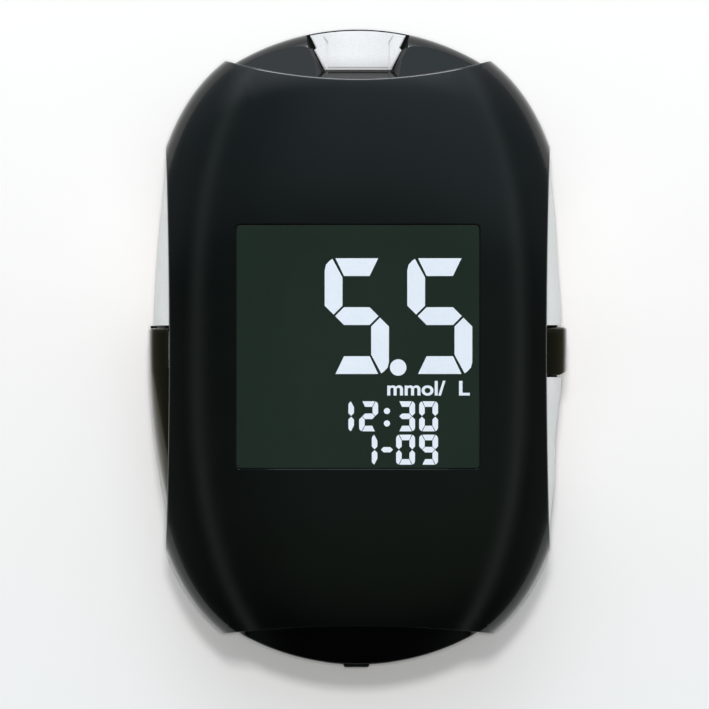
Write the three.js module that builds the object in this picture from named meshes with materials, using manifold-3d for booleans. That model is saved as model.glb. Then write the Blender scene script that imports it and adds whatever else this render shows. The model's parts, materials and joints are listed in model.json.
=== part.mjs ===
// Blood glucose meter lying on its back, in millimetres.
// +X is to the right of the display, +Y points to the strip port and +Z comes out of the display.
// The flat of the back rests on z = 0 and the origin is under the middle of the meter.

import * as THREE from 'three';
import { mergeVertices } from 'three/addons/utils/BufferGeometryUtils.js';
import Module from 'manifold-3d';

const wasm = await Module();
wasm.setup();

// Pebble shape of the whole meter
const pebbleHalfWidth = 28;
const pebbleHalfLength = 41.6;
const pebblePower = 2.8;
const frontHeight = 9;
const frontPower = 3.6;
const backPower = 4;
const shellWall = 1.4;
const floorThickness = 1.5;

// Fits
const seatGap = 0.3;
const slideGap = 0.2;
const cutOverrun = 5;

// Stack from the back up to the circuit board, which sets the height where the shells part
const cellThickness = 3.2;
const contactSpace = 1.3;
const boardThickness = 1;
const partingRise = 0.7;
const backCutOff = 0.4;
const cellLow = floorThickness + seatGap;
const cellHigh = cellLow + cellThickness;
const boardLow = cellHigh + contactSpace;
const boardHigh = boardLow + boardThickness;
const partingHeight = boardHigh + partingRise;
const backDepth = partingHeight + backCutOff;

// Scoops that cut both shells back at the two ends and the two sides
const topScoopInset = 6.6;
const topScoopRise = 2.3;
const bottomScoopInset = 5.6;
const bottomScoopRise = 1;
const endScoopShare = 0.611;
const sideScoopInset = 3.5;
const sideScoopRise = 0.45;
const sideScoopShare = 0.625;
const topScoopMiddle = pebbleHalfLength - topScoopInset;
const topScoopCorner = topScoopMiddle + topScoopRise;
const bottomScoopMiddle = pebbleHalfLength - bottomScoopInset;
const bottomScoopCorner = bottomScoopMiddle + bottomScoopRise;
const endScoopReach = pebbleHalfWidth * endScoopShare;
const sideScoopMiddle = pebbleHalfWidth - sideScoopInset;
const sideScoopCorner = sideScoopMiddle + sideScoopRise;
const sideScoopReach = pebbleHalfLength * sideScoopShare;

// Rounded noses of the middle frame, seen in the end scoops
const topNoseInset = 0.1;
const bottomNoseInset = 0.5;
const noseSpread = 3.2;
const noseTopDrop = 1;
const noseBottomRise = 0.2;
const nosePower = 2.6;
const noseInnerInset = 8.9;
const topNoseReach = pebbleHalfLength - topNoseInset;
const bottomNoseReach = pebbleHalfLength - bottomNoseInset;
const noseRadius = pebbleHalfWidth + noseSpread;
const noseHeight = frontHeight - noseTopDrop;
const noseDepth = partingHeight - noseBottomRise;
const noseInner = pebbleHalfLength - noseInnerInset;

// Belt round the sides that the rails, the slider and the key follow
const beltRadius = 168.8;
const beltInset = 1.5;
const beltExtraHeight = 0.8;
const beltPower = 2.4;
const beltReach = pebbleHalfWidth - beltInset;
const beltHalfHeight = frontHeight + beltExtraHeight;
const railHalfHeight = 4.7;
const railThickness = 2.8;
const railEndInset = 1.8;
const railWebHeight = 1.5;
const upperDipDepth = 0.16;
const lowerDipDepth = 0.4;
const dipMiddleShare = 0.47;
const dipLengthShare = 0.256;
const frameWall = 2;
const railLow = partingHeight - railHalfHeight;
const railHigh = partingHeight + railHalfHeight;
const railEnd = sideScoopReach - railEndInset;
const dipMiddle = railEnd * dipMiddleShare;
const dipHalfLength = railEnd * dipLengthShare;
const wallOuter = beltReach - railThickness - seatGap;

// Display: window, gasket, panel, light guide and their frame, each wider than the window by its margin
const windowSideInset = 12.4;
const windowEndInset = 26;
const windowGap = 0.2;
const windowCornerRadius = 0.6;
const windowMiddle = 0.2;
const flangeMargin = 1.2;
const flangeThickness = 0.8;
const gasketThickness = 0.6;
const gasketWidth = 1.8;
const panelThickness = 1.4;
const panelMargin = 0.5;
const frameMargin = 1.6;
const frameRim = 0.9;
const frameFloor = 0.5;
const frameLegHeight = 1.6;
const stripInset = 1.2;
const stripEndInset = 2.1;
const stripDepth = 1.6;
const windowHalfWidth = pebbleHalfWidth - windowSideInset;
const windowHalfLength = pebbleHalfLength - windowEndInset;
const windowLow = windowMiddle - windowHalfLength;
const windowHigh = windowMiddle + windowHalfLength;
const frameHalfWidth = windowHalfWidth + frameMargin;
const flangeUnder = frontSurface(windowHalfWidth + flangeMargin, windowHigh + flangeMargin, -shellWall);
const flangeHigh = flangeUnder - seatGap;
const flangeLow = flangeHigh - flangeThickness;
const panelHigh = flangeLow - gasketThickness;
const panelLow = panelHigh - panelThickness;
const guideLow = boardHigh + frameLegHeight + frameFloor;

// Case screws and their bosses
const bossShare = 0.518;
const bossInset = 2.5;
const frontBossRadius = 2.1;
const rearBossRadius = 2.4;
const bossSplitDrop = 1.1;
const bossBoreRadius = 1.1;
const screwHeadRadius = 1.6;
const screwHeadHeight = 1;
const screwHoleRadius = 1.95;
const screwSeatRise = 0.7;
const screwShankRadius = 0.75;
const screwTipGap = 0.9;
const screwRecessWidth = 0.5;
const screwRecessLength = 1.8;
const screwRecessDepth = 0.5;
const bossX = pebbleHalfWidth * bossShare;
const bossY = noseInner - bossInset;
const bossSplitHeight = partingHeight - bossSplitDrop;
const bossBoreTop = partingHeight + frontHeight / 2;
const screwSeatHeight = floorThickness + screwSeatRise;
const screwLength = bossBoreTop - screwSeatHeight - screwTipGap;

// Coin cell, battery door, tray and contacts
const cellSideRoom = 4;
const cellRimStep = 0.6;
const cellEndRoom = 2.3;
const doorSideRoom = 1.3;
const doorLatchRoom = 1.8;
const contactThickness = 0.4;
const contactWidth = 4;
const contactFoot = 2.6;
const trayWall = 1.2;
const trayHeight = 3.8;
const doorRecess = 0.2;
const tongueInset = 3.3;
const tongueWidth = 3;
const tongueReach = 1.8;
const tongueThickness = 0.7;
const tongueRootStart = 0.3;
const tongueRootEnd = 1.5;
const latchHalfWidth = 3;
const latchThickness = 1;
const latchInset = 0.2;
const latchHeight = 1.8;
const gripHalfWidth = 4;
const gripDepth = 0.5;
const gripLength = 2;
const gripInset = 0.9;
const cellRadius = pebbleHalfWidth / 2 - cellSideRoom;
const doorHalfWidth = cellRadius + doorSideRoom;
const doorLow = rearBossRadius - bossY;
const cellY = doorLow + cellEndRoom + cellRadius;
const doorHigh = cellY + cellRadius + doorLatchRoom;
const tongueOuter = doorHalfWidth - tongueInset;
const tongueInner = tongueOuter - tongueWidth;

// What is soldered to the circuit board
const boardInset = 7.4;
const boardEndGap = 0.4;
const processorSide = 7;
const processorHeight = 1.1;
const processorX = -4;
const processorY = 3;
const memoryLength = 5;
const memoryWidth = 4;
const memoryHeight = 0.9;
const memoryX = 7;
const memoryRise = 8.4;
const buzzerRadius = 4.5;
const buzzerHeight = 2.6;
const buzzerHoleRadius = 0.7;
const memoryY = windowLow + memoryRise;
const buzzerY = (doorHigh + noseInner) / 2;

// Strip port: silver surround, connector and contacts
const slotHalfWidth = 3.4;
const slotFloor = 0.6;
const slotHeight = 1.4;
const surroundDepth = 5.3;
const surroundSide = 0.85;
const surroundFlare = 2.05;
const surroundFlareInset = 0.7;
const surroundUnderSlot = 1.3;
const surroundLipHeight = 0.6;
const surroundInnerRise = 3.3;
const connectorSide = 2.4;
const connectorLength = 9;
const connectorHeight = 3.3;
const stripContactWidth = 0.7;
const stripContactThickness = 0.4;
const stripContactLength = 7;
const stripContactTail = 0.8;
const stripContactShares = [-0.81, -0.46, 0.46, 0.81];
const stripContactGroove = 0.95;
const slotLow = boardHigh + slotFloor;
const slotHigh = slotLow + slotHeight;
const surroundInner = topNoseReach - surroundDepth;
const surroundFlareEnd = topNoseReach - surroundFlareInset;
const surroundInnerHalfWidth = slotHalfWidth + surroundSide;
const surroundLow = slotLow - surroundUnderSlot;
const surroundOuterHeight = slotHigh + surroundLipHeight;
const surroundInnerHeight = slotHigh + surroundInnerRise;
const connectorHalfWidth = slotHalfWidth + connectorSide;
const connectorInner = surroundInner - connectorLength;

// Ejector: outside slider, inner arm and return spring
const thumbRadius = 97;
const thumbProud = 0.7;
const thumbMiddle = 0.5;
const sliderTop = 2.9;
const sliderEndInset = 2.6;
const leftRailLap = 0.6;
const ejectTravel = 4.5;
const stemLow = -9;
const stemHigh = -5;
const armGap = 0.4;
const armThickness = 1.4;
const armHeight = 2;
const armRise = 0.5;
const armBarWidth = 1.9;
const armCornerCut = 0.4;
const fingerHalfWidth = 0.95;
const fingerLap = 1.4;
const fingerThickness = 0.7;
const springRadius = 1;
const springWire = 0.45;
const springTurns = 7;
const springPinRadius = 0.5;
const springPinLength = 3;
const thumbReach = beltReach + thumbProud;
const sliderBottom = sliderEndInset - railEnd;
const leftRailStart = sliderTop - leftRailLap;
const armOuter = frameHalfWidth + armGap + armThickness;
const armLow = boardHigh + armRise;
const armMiddle = armLow + armHeight / 2;
const armBarOuter = connectorInner - ejectTravel - slideGap;
const armBarInner = armBarOuter - armBarWidth;
const armBarEnd = armOuter - armCornerCut;
const fingerReach = connectorInner + fingerLap;
const springX = -(connectorHalfWidth + bossX - frontBossRadius) / 2;

// Key on the right edge, its plunger, pin and switch, each set in from the belt
const keyTop = 2.9;
const keyBottom = -3.7;
const keyLowDrop = 2.9;
const keyTopGap = 0.3;
const keySideGap = 0.35;
const keyWindowGap = 0.7;
const keyInset = 2.6;
const keyPocketDepth = 2.1;
const keyPocketHalfLength = 1.7;
const keyPocketHalfHeight = 2.3;
const rockInset = 1.7;
const plungerRise = 1.55;
const plungerInset = 5.8;
const plungerStemHalfWidth = 0.8;
const plungerHeadInset = 3.3;
const plungerTipInset = 0.9;
const plungerHeadHalfLength = 1.2;
const plungerHeadHalfHeight = 1.8;
const pinRadius = 0.5;
const pinGap = 0.3;
const pinHalfLength = 2.8;
const switchInset = 4.6;
const switchFrameGap = 0.5;
const switchHalfLength = 2.7;
const switchHeight = 3.1;
const switchBoreGap = 0.35;
const pressTravel = 0.5;
const keyMiddle = (keyTop + keyBottom) / 2;
const keyLow = partingHeight - keyLowDrop;
const keyHigh = railHigh - keyTopGap;
const keyInner = beltReach - keyInset;
const rockX = beltReach - rockInset;
const jogHeight = boardHigh + plungerRise;
const plungerInner = beltReach - plungerInset;
const plungerHeadInner = beltReach - plungerHeadInset;
const plungerHeadOuter = beltReach - plungerTipInset;
const switchInner = frameHalfWidth + switchFrameGap;
const switchOuter = beltReach - switchInset;

// Data socket at the bottom end, and the flap over it
const socketHalfWidth = 4;
const socketWall = 0.4;
const socketEndGap = 0.5;
const socketMouthInset = 2.1;
const socketHeight = 2.8;
const flapSide = 1.6;
const flapUnderSocket = 1.2;
const flapRise = 2.7;
const flapThickness = 1.5;
const plugInset = 1.3;
const plugDepth = 1.4;
const plugMargin = 0.5;
const lipMiddle = -0.2;
const lipWidth = 3.4;
const lipReach = 0.4;
const lipHeight = 1.7;
const lipRoot = 0.9;
const socketInner = noseInner + socketEndGap;
const socketOuter = bottomNoseReach - socketMouthInset;
const flapHalfWidth = socketHalfWidth + flapSide;
const flapLow = boardHigh - flapUnderSocket;
const flapHigh = boardHigh + flapRise;
const flapInner = bottomNoseReach - flapThickness;
const plugHalfWidth = socketHalfWidth - plugInset;

// Steps of the curved forms
const outlineSteps = 72;
const domeSteps = 8;
const scoopSteps = 14;
const roundSteps = 20;
const smallRoundSteps = 12;
const cornerSteps = 3;
const springSteps = 8;
const springSides = 5;
const leastSpringGap = 0.4;

// Height of the front surface, or of one set off from it, over a point
function frontSurface(x, y, offset) {
  const across = Math.abs(x) / (pebbleHalfWidth + offset);
  const along = Math.abs(y) / (pebbleHalfLength + offset);
  const share = (across ** pebblePower + along ** pebblePower) ** (1 / pebblePower);
  return partingHeight + (frontHeight + offset) * (1 - share ** frontPower) ** (1 / frontPower);
}

// Outlines give the distance from the origin in each direction

function superellipse(halfWidth, halfLength, power) {
  return (angle) => {
    const across = Math.abs(Math.cos(angle) / halfWidth) ** power;
    const along = Math.abs(Math.sin(angle) / halfLength) ** power;
    return (across + along) ** (-1 / power);
  };
}

function arc(centreX, centreY, radius) {
  return (angle) => {
    const towards = centreX * Math.cos(angle) + centreY * Math.sin(angle);
    return towards + Math.sqrt(towards ** 2 - centreX ** 2 - centreY ** 2 + radius ** 2);
  };
}

function innermost(...outlines) {
  return (angle) => Math.min(...outlines.map((outline) => outline(angle)));
}

function pebbleOutline(offset) {
  return superellipse(pebbleHalfWidth + offset, pebbleHalfLength + offset, pebblePower);
}

function noseOutline(offset) {
  const top = arc(0, topNoseReach - noseRadius, noseRadius + offset);
  const bottom = arc(0, noseRadius - bottomNoseReach, noseRadius + offset);
  return (angle) => (Math.sin(angle) > 0 ? top(angle) : bottom(angle));
}

function beltOutline(reach) {
  const radius = beltRadius + reach - beltReach;
  return innermost(arc(reach - radius, 0, radius), arc(radius - reach, 0, radius));
}

function thumbOutline() {
  return innermost(
    arc(thumbReach - thumbRadius, thumbMiddle, thumbRadius),
    arc(thumbRadius - thumbReach, thumbMiddle, thumbRadius),
  );
}

// Solids

function solidOf(geometry) {
  const plain = geometry.clone();
  plain.deleteAttribute('normal');
  plain.deleteAttribute('uv');
  const merged = mergeVertices(plain);
  return new wasm.Manifold(new wasm.Mesh({
    numProp: 3,
    vertProperties: new Float32Array(merged.attributes.position.array),
    triVerts: new Uint32Array(merged.index.array),
  }));
}

function geometryOf(solid) {
  const mesh = solid.getMesh();
  const geometry = new THREE.BufferGeometry();
  geometry.setAttribute('position', new THREE.BufferAttribute(mesh.vertProperties, 3));
  geometry.setIndex(new THREE.BufferAttribute(mesh.triVerts, 1));
  const faceted = geometry.toNonIndexed();
  faceted.computeVertexNormals();
  return faceted;
}

function block(low, high) {
  const size = high.map((value, axis) => value - low[axis]);
  const geometry = new THREE.BoxGeometry(...size);
  geometry.translate(...high.map((value, axis) => (value + low[axis]) / 2));
  return solidOf(geometry);
}

// Round bar along Z
function bar(radius, x, y, low, high, steps = roundSteps) {
  const geometry = new THREE.CylinderGeometry(radius, radius, high - low, steps);
  geometry.rotateX(Math.PI / 2);
  geometry.translate(x, y, (low + high) / 2);
  return solidOf(geometry);
}

// Upright prism over a plan made of [x, y] points
function prism(points, low, high) {
  const shape = new THREE.Shape(points.map(([x, y]) => new THREE.Vector2(x, y)));
  const geometry = new THREE.ExtrudeGeometry(shape, { depth: high - low, bevelEnabled: false });
  geometry.translate(0, 0, low);
  return solidOf(geometry);
}

// Prism along X over a side view made of [y, z] points
function sidePrism(points, low, high) {
  const shape = new THREE.Shape(points.map(([y, z]) => new THREE.Vector2(y, z)));
  const geometry = new THREE.ExtrudeGeometry(shape, { depth: high - low, bevelEnabled: false });
  geometry.rotateY(Math.PI / 2);
  geometry.rotateX(Math.PI / 2);
  geometry.translate(low, 0, 0);
  return solidOf(geometry);
}

// Prism along Y over an end view made of [x, z] points
function endPrism(points, low, high) {
  const shape = new THREE.Shape(points.map(([x, z]) => new THREE.Vector2(x, z)));
  const geometry = new THREE.ExtrudeGeometry(shape, { depth: high - low, bevelEnabled: false });
  geometry.rotateX(Math.PI / 2);
  geometry.translate(0, high, 0);
  return solidOf(geometry);
}

// Body through rings of one outline; each section is a share of the outline and a height,
// from the bottom to the top, and a share of zero closes the end in a point
function loft(outline, sections) {
  const positions = [];
  const triangles = [];
  const rings = sections.map(({ share, height }) => {
    const first = positions.length / 3;
    const count = share > 0 ? outlineSteps : 1;
    for (let step = 0; step < count; step += 1) {
      const angle = (2 * Math.PI * step) / outlineSteps;
      const distance = share * outline(angle);
      positions.push(distance * Math.cos(angle), distance * Math.sin(angle), height);
    }
    return { first, count };
  });
  for (let level = 1; level < rings.length; level += 1) {
    const below = rings[level - 1];
    const above = rings[level];
    for (let step = 0; step < outlineSteps; step += 1) {
      const next = (step + 1) % outlineSteps;
      const belowHere = below.first + (step % below.count);
      const belowNext = below.first + (next % below.count);
      const aboveHere = above.first + (step % above.count);
      const aboveNext = above.first + (next % above.count);
      if (below.count > 1) triangles.push(belowHere, belowNext, above.count > 1 ? aboveNext : aboveHere);
      if (above.count > 1) triangles.push(belowHere, aboveNext, aboveHere);
    }
  }
  const geometry = new THREE.BufferGeometry();
  geometry.setAttribute('position', new THREE.Float32BufferAttribute(positions, 3));
  geometry.setIndex(triangles);
  return solidOf(geometry);
}

// Sections of a body that swells from a point below the parting height to one above it
function swell(depth, depthPower, height, heightPower) {
  const sections = [];
  for (let step = -domeSteps; step <= domeSteps; step += 1) {
    const angle = (Math.PI / 2) * (1 - Math.abs(step) / domeSteps);
    const power = step < 0 ? depthPower : heightPower;
    const rise = step < 0 ? -depth : height;
    sections.push({
      share: step === -domeSteps || step === domeSteps ? 0 : Math.sin(angle) ** (2 / power),
      height: partingHeight + rise * Math.cos(angle) ** (2 / power),
    });
  }
  return sections;
}

function slab(low, high) {
  const reach = pebbleHalfLength + cutOverrun;
  return block([-reach, -reach, low], [reach, reach, high]);
}

const everyLow = -cutOverrun;
const everyHigh = partingHeight + frontHeight + cutOverrun;

// Straight-sided body over an outline
function plate(outline, low, high) {
  return loft(outline, [
    { share: 0, height: low },
    { share: 1, height: low },
    { share: 1, height: high },
    { share: 0, height: high },
  ]);
}

function pebble(offset) {
  const sections = swell(backDepth + offset, backPower, frontHeight + offset, frontPower);
  return loft(pebbleOutline(offset), sections);
}

// What lies inside the four scoops, set outwards by an offset
function scoopZone(offset) {
  const bow = (middle, corner, reach) => (across) => {
    const share = across / reach;
    return middle + offset + (corner - middle) * share ** 2;
  };
  const top = bow(topScoopMiddle, topScoopCorner, endScoopReach);
  const bottom = bow(bottomScoopMiddle, bottomScoopCorner, endScoopReach);
  const side = bow(sideScoopMiddle, sideScoopCorner, sideScoopReach);
  const spread = (reach, count) => {
    const places = Array.from({ length: count + 1 });
    return places.map((_, step) => reach * ((2 * step) / count - 1));
  };
  const across = spread(pebbleHalfWidth + cutOverrun, scoopSteps * 2);
  const along = spread(pebbleHalfLength + cutOverrun, scoopSteps);
  const ends = [
    ...across.map((x) => [x, -bottom(x)]),
    ...across.toReversed().map((x) => [x, top(x)]),
  ];
  const sides = [
    ...along.map((y) => [side(y), y]),
    ...along.toReversed().map((y) => [-side(y), y]),
  ];
  return prism(ends, everyLow, everyHigh).intersect(prism(sides, everyLow, everyHigh));
}

// Room that the two shells and the gap inside them take up
const shellRoom = scoopZone(seatGap).subtract(pebble(-shellWall - seatGap));
const noseBody = loft(
  innermost(noseOutline(0), pebbleOutline(0)),
  swell(noseDepth, nosePower, noseHeight, nosePower),
);

function beltBody(reach) {
  return loft(beltOutline(reach), swell(beltHalfHeight, beltPower, beltHalfHeight, beltPower));
}

const thumbBody = loft(thumbOutline(), swell(beltHalfHeight, beltPower, beltHalfHeight, beltPower));
const bossPlaces = [[bossX, bossY], [-bossX, bossY], [-bossX, -bossY], [bossX, -bossY]];

// Rounded outline round the window, wider than the window by a margin
function roundedWindow(margin) {
  const straightX = windowHalfWidth + margin - windowCornerRadius;
  const straightY = windowHalfLength + margin - windowCornerRadius;
  const points = [];
  for (let corner = 0; corner < 4; corner += 1) {
    for (let step = 0; step <= cornerSteps; step += 1) {
      const angle = (Math.PI / 2) * (corner + step / cornerSteps);
      const right = corner === 0 || corner === 3 ? 1 : -1;
      const up = corner < 2 ? 1 : -1;
      points.push([
        right * straightX + windowCornerRadius * Math.cos(angle),
        windowMiddle + up * straightY + windowCornerRadius * Math.sin(angle),
      ]);
    }
  }
  return points;
}

// Block over the window's place, wider than the window by a margin
function aroundWindow(margin, low, high) {
  return block(
    [-windowHalfWidth - margin, windowLow - margin, low],
    [windowHalfWidth + margin, windowHigh + margin, high],
  );
}

// Housing

function frontCover() {
  const front = slab(partingHeight, everyHigh);
  let cover = pebble(0).subtract(pebble(-shellWall));
  for (const [x, y] of bossPlaces) {
    cover = cover.add(bar(frontBossRadius, x, y, bossSplitHeight, everyHigh).intersect(pebble(0)));
  }
  const bosses = bossPlaces.map(([x, y]) => bar(frontBossRadius, x, y, bossSplitHeight, partingHeight));
  cover = cover.intersect(front).intersect(scoopZone(0));
  for (const boss of bosses) cover = cover.add(boss);
  for (const [x, y] of bossPlaces) {
    cover = cover.subtract(bar(bossBoreRadius, x, y, bossSplitHeight - cutOverrun, bossBoreTop));
  }
  return cover.subtract(prism(roundedWindow(windowGap), flangeHigh, everyHigh));
}

function displayWindow() {
  const lens = prism(roundedWindow(0), flangeLow, everyHigh);
  return pebble(0).intersect(lens).add(aroundWindow(flangeMargin, flangeLow, flangeHigh));
}

function rearHousing() {
  const back = slab(0, partingHeight);
  const hollow = pebble(-shellWall).intersect(slab(floorThickness, everyHigh));
  let housing = pebble(0).intersect(back).intersect(scoopZone(0)).subtract(hollow);
  const doorway = [doorLow - seatGap, doorHigh + seatGap];
  const trayHalf = doorHalfWidth + seatGap * 2;
  const trayTop = floorThickness + trayHeight;
  const sideWall = block(
    [trayHalf, doorway[0], floorThickness],
    [trayHalf + trayWall, doorway[1] + seatGap, trayTop],
  );
  const topWall = block(
    [-trayHalf - trayWall, doorway[1] + seatGap, floorThickness],
    [trayHalf + trayWall, doorway[1] + seatGap + trayWall, trayTop],
  );
  housing = housing.add(sideWall).add(sideWall.mirror([1, 0, 0])).add(topWall);
  for (const [x, y] of bossPlaces) {
    housing = housing.add(bar(rearBossRadius, x, y, 0, bossSplitHeight).intersect(pebble(0)));
  }
  for (const [x, y] of bossPlaces) {
    housing = housing.subtract(bar(screwHoleRadius, x, y, -cutOverrun, screwSeatHeight));
    housing = housing.subtract(bar(bossBoreRadius, x, y, -cutOverrun, partingHeight));
  }
  return housing.subtract(block(
    [-doorHalfWidth - seatGap, doorway[0], -cutOverrun],
    [doorHalfWidth + seatGap, doorway[1], floorThickness + cutOverrun],
  ).intersect(slab(-cutOverrun, trayTop)));
}

// Frame between the two shells, with the two noses and the side walls behind the rails
function middleFrame() {
  const noses = noseBody.subtract(block(
    [-pebbleHalfWidth, -noseInner, everyLow],
    [pebbleHalfWidth, noseInner, everyHigh],
  ));
  const outer = innermost(beltOutline(wallOuter), pebbleOutline(-shellWall - seatGap), noseOutline(0));
  const inner = innermost(
    beltOutline(wallOuter - frameWall),
    pebbleOutline(-shellWall - seatGap - frameWall),
  );
  const hollow = plate(inner, everyLow, everyHigh).intersect(block(
    [-pebbleHalfWidth, -noseInner, everyLow],
    [pebbleHalfWidth, noseInner, everyHigh],
  ));
  const ring = plate(outer, railLow, railHigh).intersect(block(
    [-pebbleHalfWidth, -noseInner, railLow],
    [pebbleHalfWidth, noseInner, railHigh],
  ));
  let frame = noses.add(ring).subtract(hollow).subtract(shellRoom);
  frame = frame.subtract(surroundBody(seatGap));
  frame = frame.subtract(block(
    [-connectorHalfWidth - seatGap, noseInner - cutOverrun, boardHigh - seatGap],
    [connectorHalfWidth + seatGap, surroundInner, boardHigh + connectorHeight + seatGap],
  ));
  frame = frame.subtract(block(
    [-flapHalfWidth - seatGap, -pebbleHalfLength - cutOverrun, flapLow - seatGap],
    [flapHalfWidth + seatGap, -flapInner + seatGap, flapHigh + seatGap],
  ));
  frame = frame.subtract(block(
    [-socketHalfWidth - seatGap, -socketOuter - cutOverrun, boardHigh - seatGap],
    [socketHalfWidth + seatGap, -noseInner + cutOverrun, boardHigh + socketHeight + seatGap],
  ));
  frame = frame.subtract(block(
    [-pebbleHalfWidth, stemLow - seatGap, armLow - seatGap],
    [-armOuter, stemHigh + ejectTravel + seatGap, armLow + armHeight + seatGap],
  ));
  return frame.subtract(block(
    [switchInner, keyBottom - keyWindowGap, keyLow - keyWindowGap],
    [pebbleHalfWidth, keyTop + keyWindowGap, everyHigh],
  ));
}

// Shallow finger dip in a rail: everything outside a surface that bows inwards
function railDip(middle, depth) {
  const surface = (y) => beltReach - y ** 2 / (2 * beltRadius);
  const far = pebbleHalfWidth + cutOverrun;
  const points = [];
  for (let step = -scoopSteps / 2; step <= scoopSteps / 2; step += 1) {
    const share = (2 * step) / scoopSteps;
    const y = middle + share * dipHalfLength;
    points.push([surface(y) - depth * (1 - share ** 2), y]);
  }
  points.push([far, middle + dipHalfLength], [far, middle - dipHalfLength]);
  return prism(points.toReversed(), railLow - cutOverrun, railHigh + cutOverrun);
}

function railBetween(start, end) {
  const inner = plate(beltOutline(beltReach - railThickness), everyLow, everyHigh);
  const region = block([0, start, railLow], [pebbleHalfWidth, end, railHigh]);
  return beltBody(beltReach).intersect(region).subtract(inner).subtract(shellRoom);
}

function rightRail() {
  const notch = block(
    [0, keyBottom - keySideGap, railLow + railWebHeight],
    [pebbleHalfWidth, keyTop + keySideGap, everyHigh],
  );
  return railBetween(-railEnd, railEnd).subtract(notch)
    .subtract(railDip(dipMiddle, upperDipDepth))
    .subtract(railDip(-dipMiddle, lowerDipDepth));
}

function leftRail() {
  return railBetween(leftRailStart, railEnd).mirror([1, 0, 0]);
}

// Ejector

// The curved inner face still clears the curved wall at the end of the travel,
// and the thin upper end of the slider rides over the left rail
function ejectSlider() {
  const wallRadius = beltRadius + wallOuter - beltReach;
  const sweep = (ejectTravel * (-2 * sliderBottom - ejectTravel)) / (2 * wallRadius);
  const inner = plate(beltOutline(wallOuter + slideGap + sweep), everyLow, everyHigh);
  const region = block([0, sliderBottom, railLow], [pebbleHalfWidth, sliderTop, railHigh]);
  const lipEnd = leftRailStart - ejectTravel - seatGap;
  const overRail = beltBody(beltReach + slideGap).intersect(block(
    [0, lipEnd, everyLow],
    [pebbleHalfWidth, sliderTop + cutOverrun, everyHigh],
  ));
  const stem = block(
    [armOuter + seatGap, stemLow, armLow],
    [beltReach - railThickness / 2, stemHigh, armLow + armHeight],
  );
  return thumbBody.intersect(region).subtract(inner).subtract(shellRoom).subtract(overRail)
    .add(stem).mirror([1, 0, 0]);
}

function ejectArm() {
  const high = armLow + armHeight;
  const column = block([-armOuter, stemLow, armLow], [-armOuter + armThickness, armBarOuter, high]);
  const crossBar = block([-armBarEnd, armBarInner, armLow], [fingerHalfWidth, armBarOuter, high]);
  const corner = block([-armOuter - seatGap, armBarInner, everyLow], [-armBarEnd, everyHigh, everyHigh]);
  const fingerMiddle = (slotLow + slotHigh) / 2;
  const finger = block(
    [-fingerHalfWidth, armBarInner, fingerMiddle - fingerThickness / 2],
    [fingerHalfWidth, fingerReach, fingerMiddle + fingerThickness / 2],
  );
  const pinGeometry = new THREE.CylinderGeometry(
    springPinRadius,
    springPinRadius,
    springPinLength + armBarOuter - armBarInner,
    smallRoundSteps,
  );
  pinGeometry.translate(springX, (armBarInner + armBarOuter + springPinLength) / 2, armMiddle);
  return column.subtract(corner).add(crossBar).add(finger).add(solidOf(pinGeometry));
}

// Coil spring between the arm and the upper nose, as one unbroken tube
function returnSpring() {
  const low = armBarOuter + seatGap + springWire / 2;
  const high = noseInner - seatGap - springWire / 2;
  const count = springTurns * springSteps;
  const pitch = (high - low) / springTurns;
  const centre = (step) => {
    const angle = (2 * Math.PI * step) / springSteps;
    return new THREE.Vector3(
      springX + springRadius * Math.cos(angle),
      low + (pitch * step) / springSteps,
      armMiddle + springRadius * Math.sin(angle),
    );
  };
  const positions = [];
  const triangles = [];
  for (let step = 0; step <= count; step += 1) {
    const here = centre(step);
    const angle = (2 * Math.PI * step) / springSteps;
    const outwards = new THREE.Vector3(Math.cos(angle), 0, Math.sin(angle));
    const tangent = centre(step + 1).sub(centre(step - 1)).normalize();
    const across = new THREE.Vector3().crossVectors(tangent, outwards).normalize();
    for (let side = 0; side < springSides; side += 1) {
      const turn = (2 * Math.PI * side) / springSides;
      const point = here.clone()
        .addScaledVector(outwards, (springWire / 2) * Math.cos(turn))
        .addScaledVector(across, (springWire / 2) * Math.sin(turn));
      positions.push(point.x, point.y, point.z);
    }
  }
  for (let step = 0; step < count; step += 1) {
    for (let side = 0; side < springSides; side += 1) {
      const next = (side + 1) % springSides;
      const here = step * springSides;
      const ahead = here + springSides;
      triangles.push(here + side, here + next, ahead + next);
      triangles.push(here + side, ahead + next, ahead + side);
    }
  }
  for (let side = 1; side < springSides - 1; side += 1) {
    const last = count * springSides;
    triangles.push(0, side + 1, side);
    triangles.push(last, last + side, last + side + 1);
  }
  let gap = Infinity;
  for (let step = 0; step <= count - springSteps; step += 1) {
    gap = Math.min(gap, centre(step).distanceTo(centre(step + springSteps)) - springWire);
  }
  console.log(`return spring: least gap between turns ${gap.toFixed(2)} mm, over ${leastSpringGap} mm`);
  const geometry = new THREE.BufferGeometry();
  geometry.setAttribute('position', new THREE.Float32BufferAttribute(positions, 3));
  geometry.setIndex(triangles);
  return solidOf(geometry);
}

// Strip port

function surroundBody(offset) {
  const slope = surroundFlare / (surroundFlareEnd - surroundInner);
  const far = topNoseReach + cutOverrun;
  const halfWidth = (y) => surroundInnerHalfWidth + offset + slope * (y - surroundInner);
  const near = surroundInner - offset;
  const plan = prism([
    [-halfWidth(near), near],
    [halfWidth(near), near],
    [halfWidth(far), far],
    [-halfWidth(far), far],
  ], surroundLow - offset, everyHigh);
  if (offset > 0) return plan;
  const top = sidePrism([
    [surroundInner, surroundLow],
    [topNoseReach, surroundLow],
    [topNoseReach, surroundOuterHeight],
    [surroundInner, surroundInnerHeight],
  ], -pebbleHalfWidth, pebbleHalfWidth);
  return plan.intersect(top).intersect(plate(noseOutline(0), everyLow, everyHigh));
}

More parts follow.
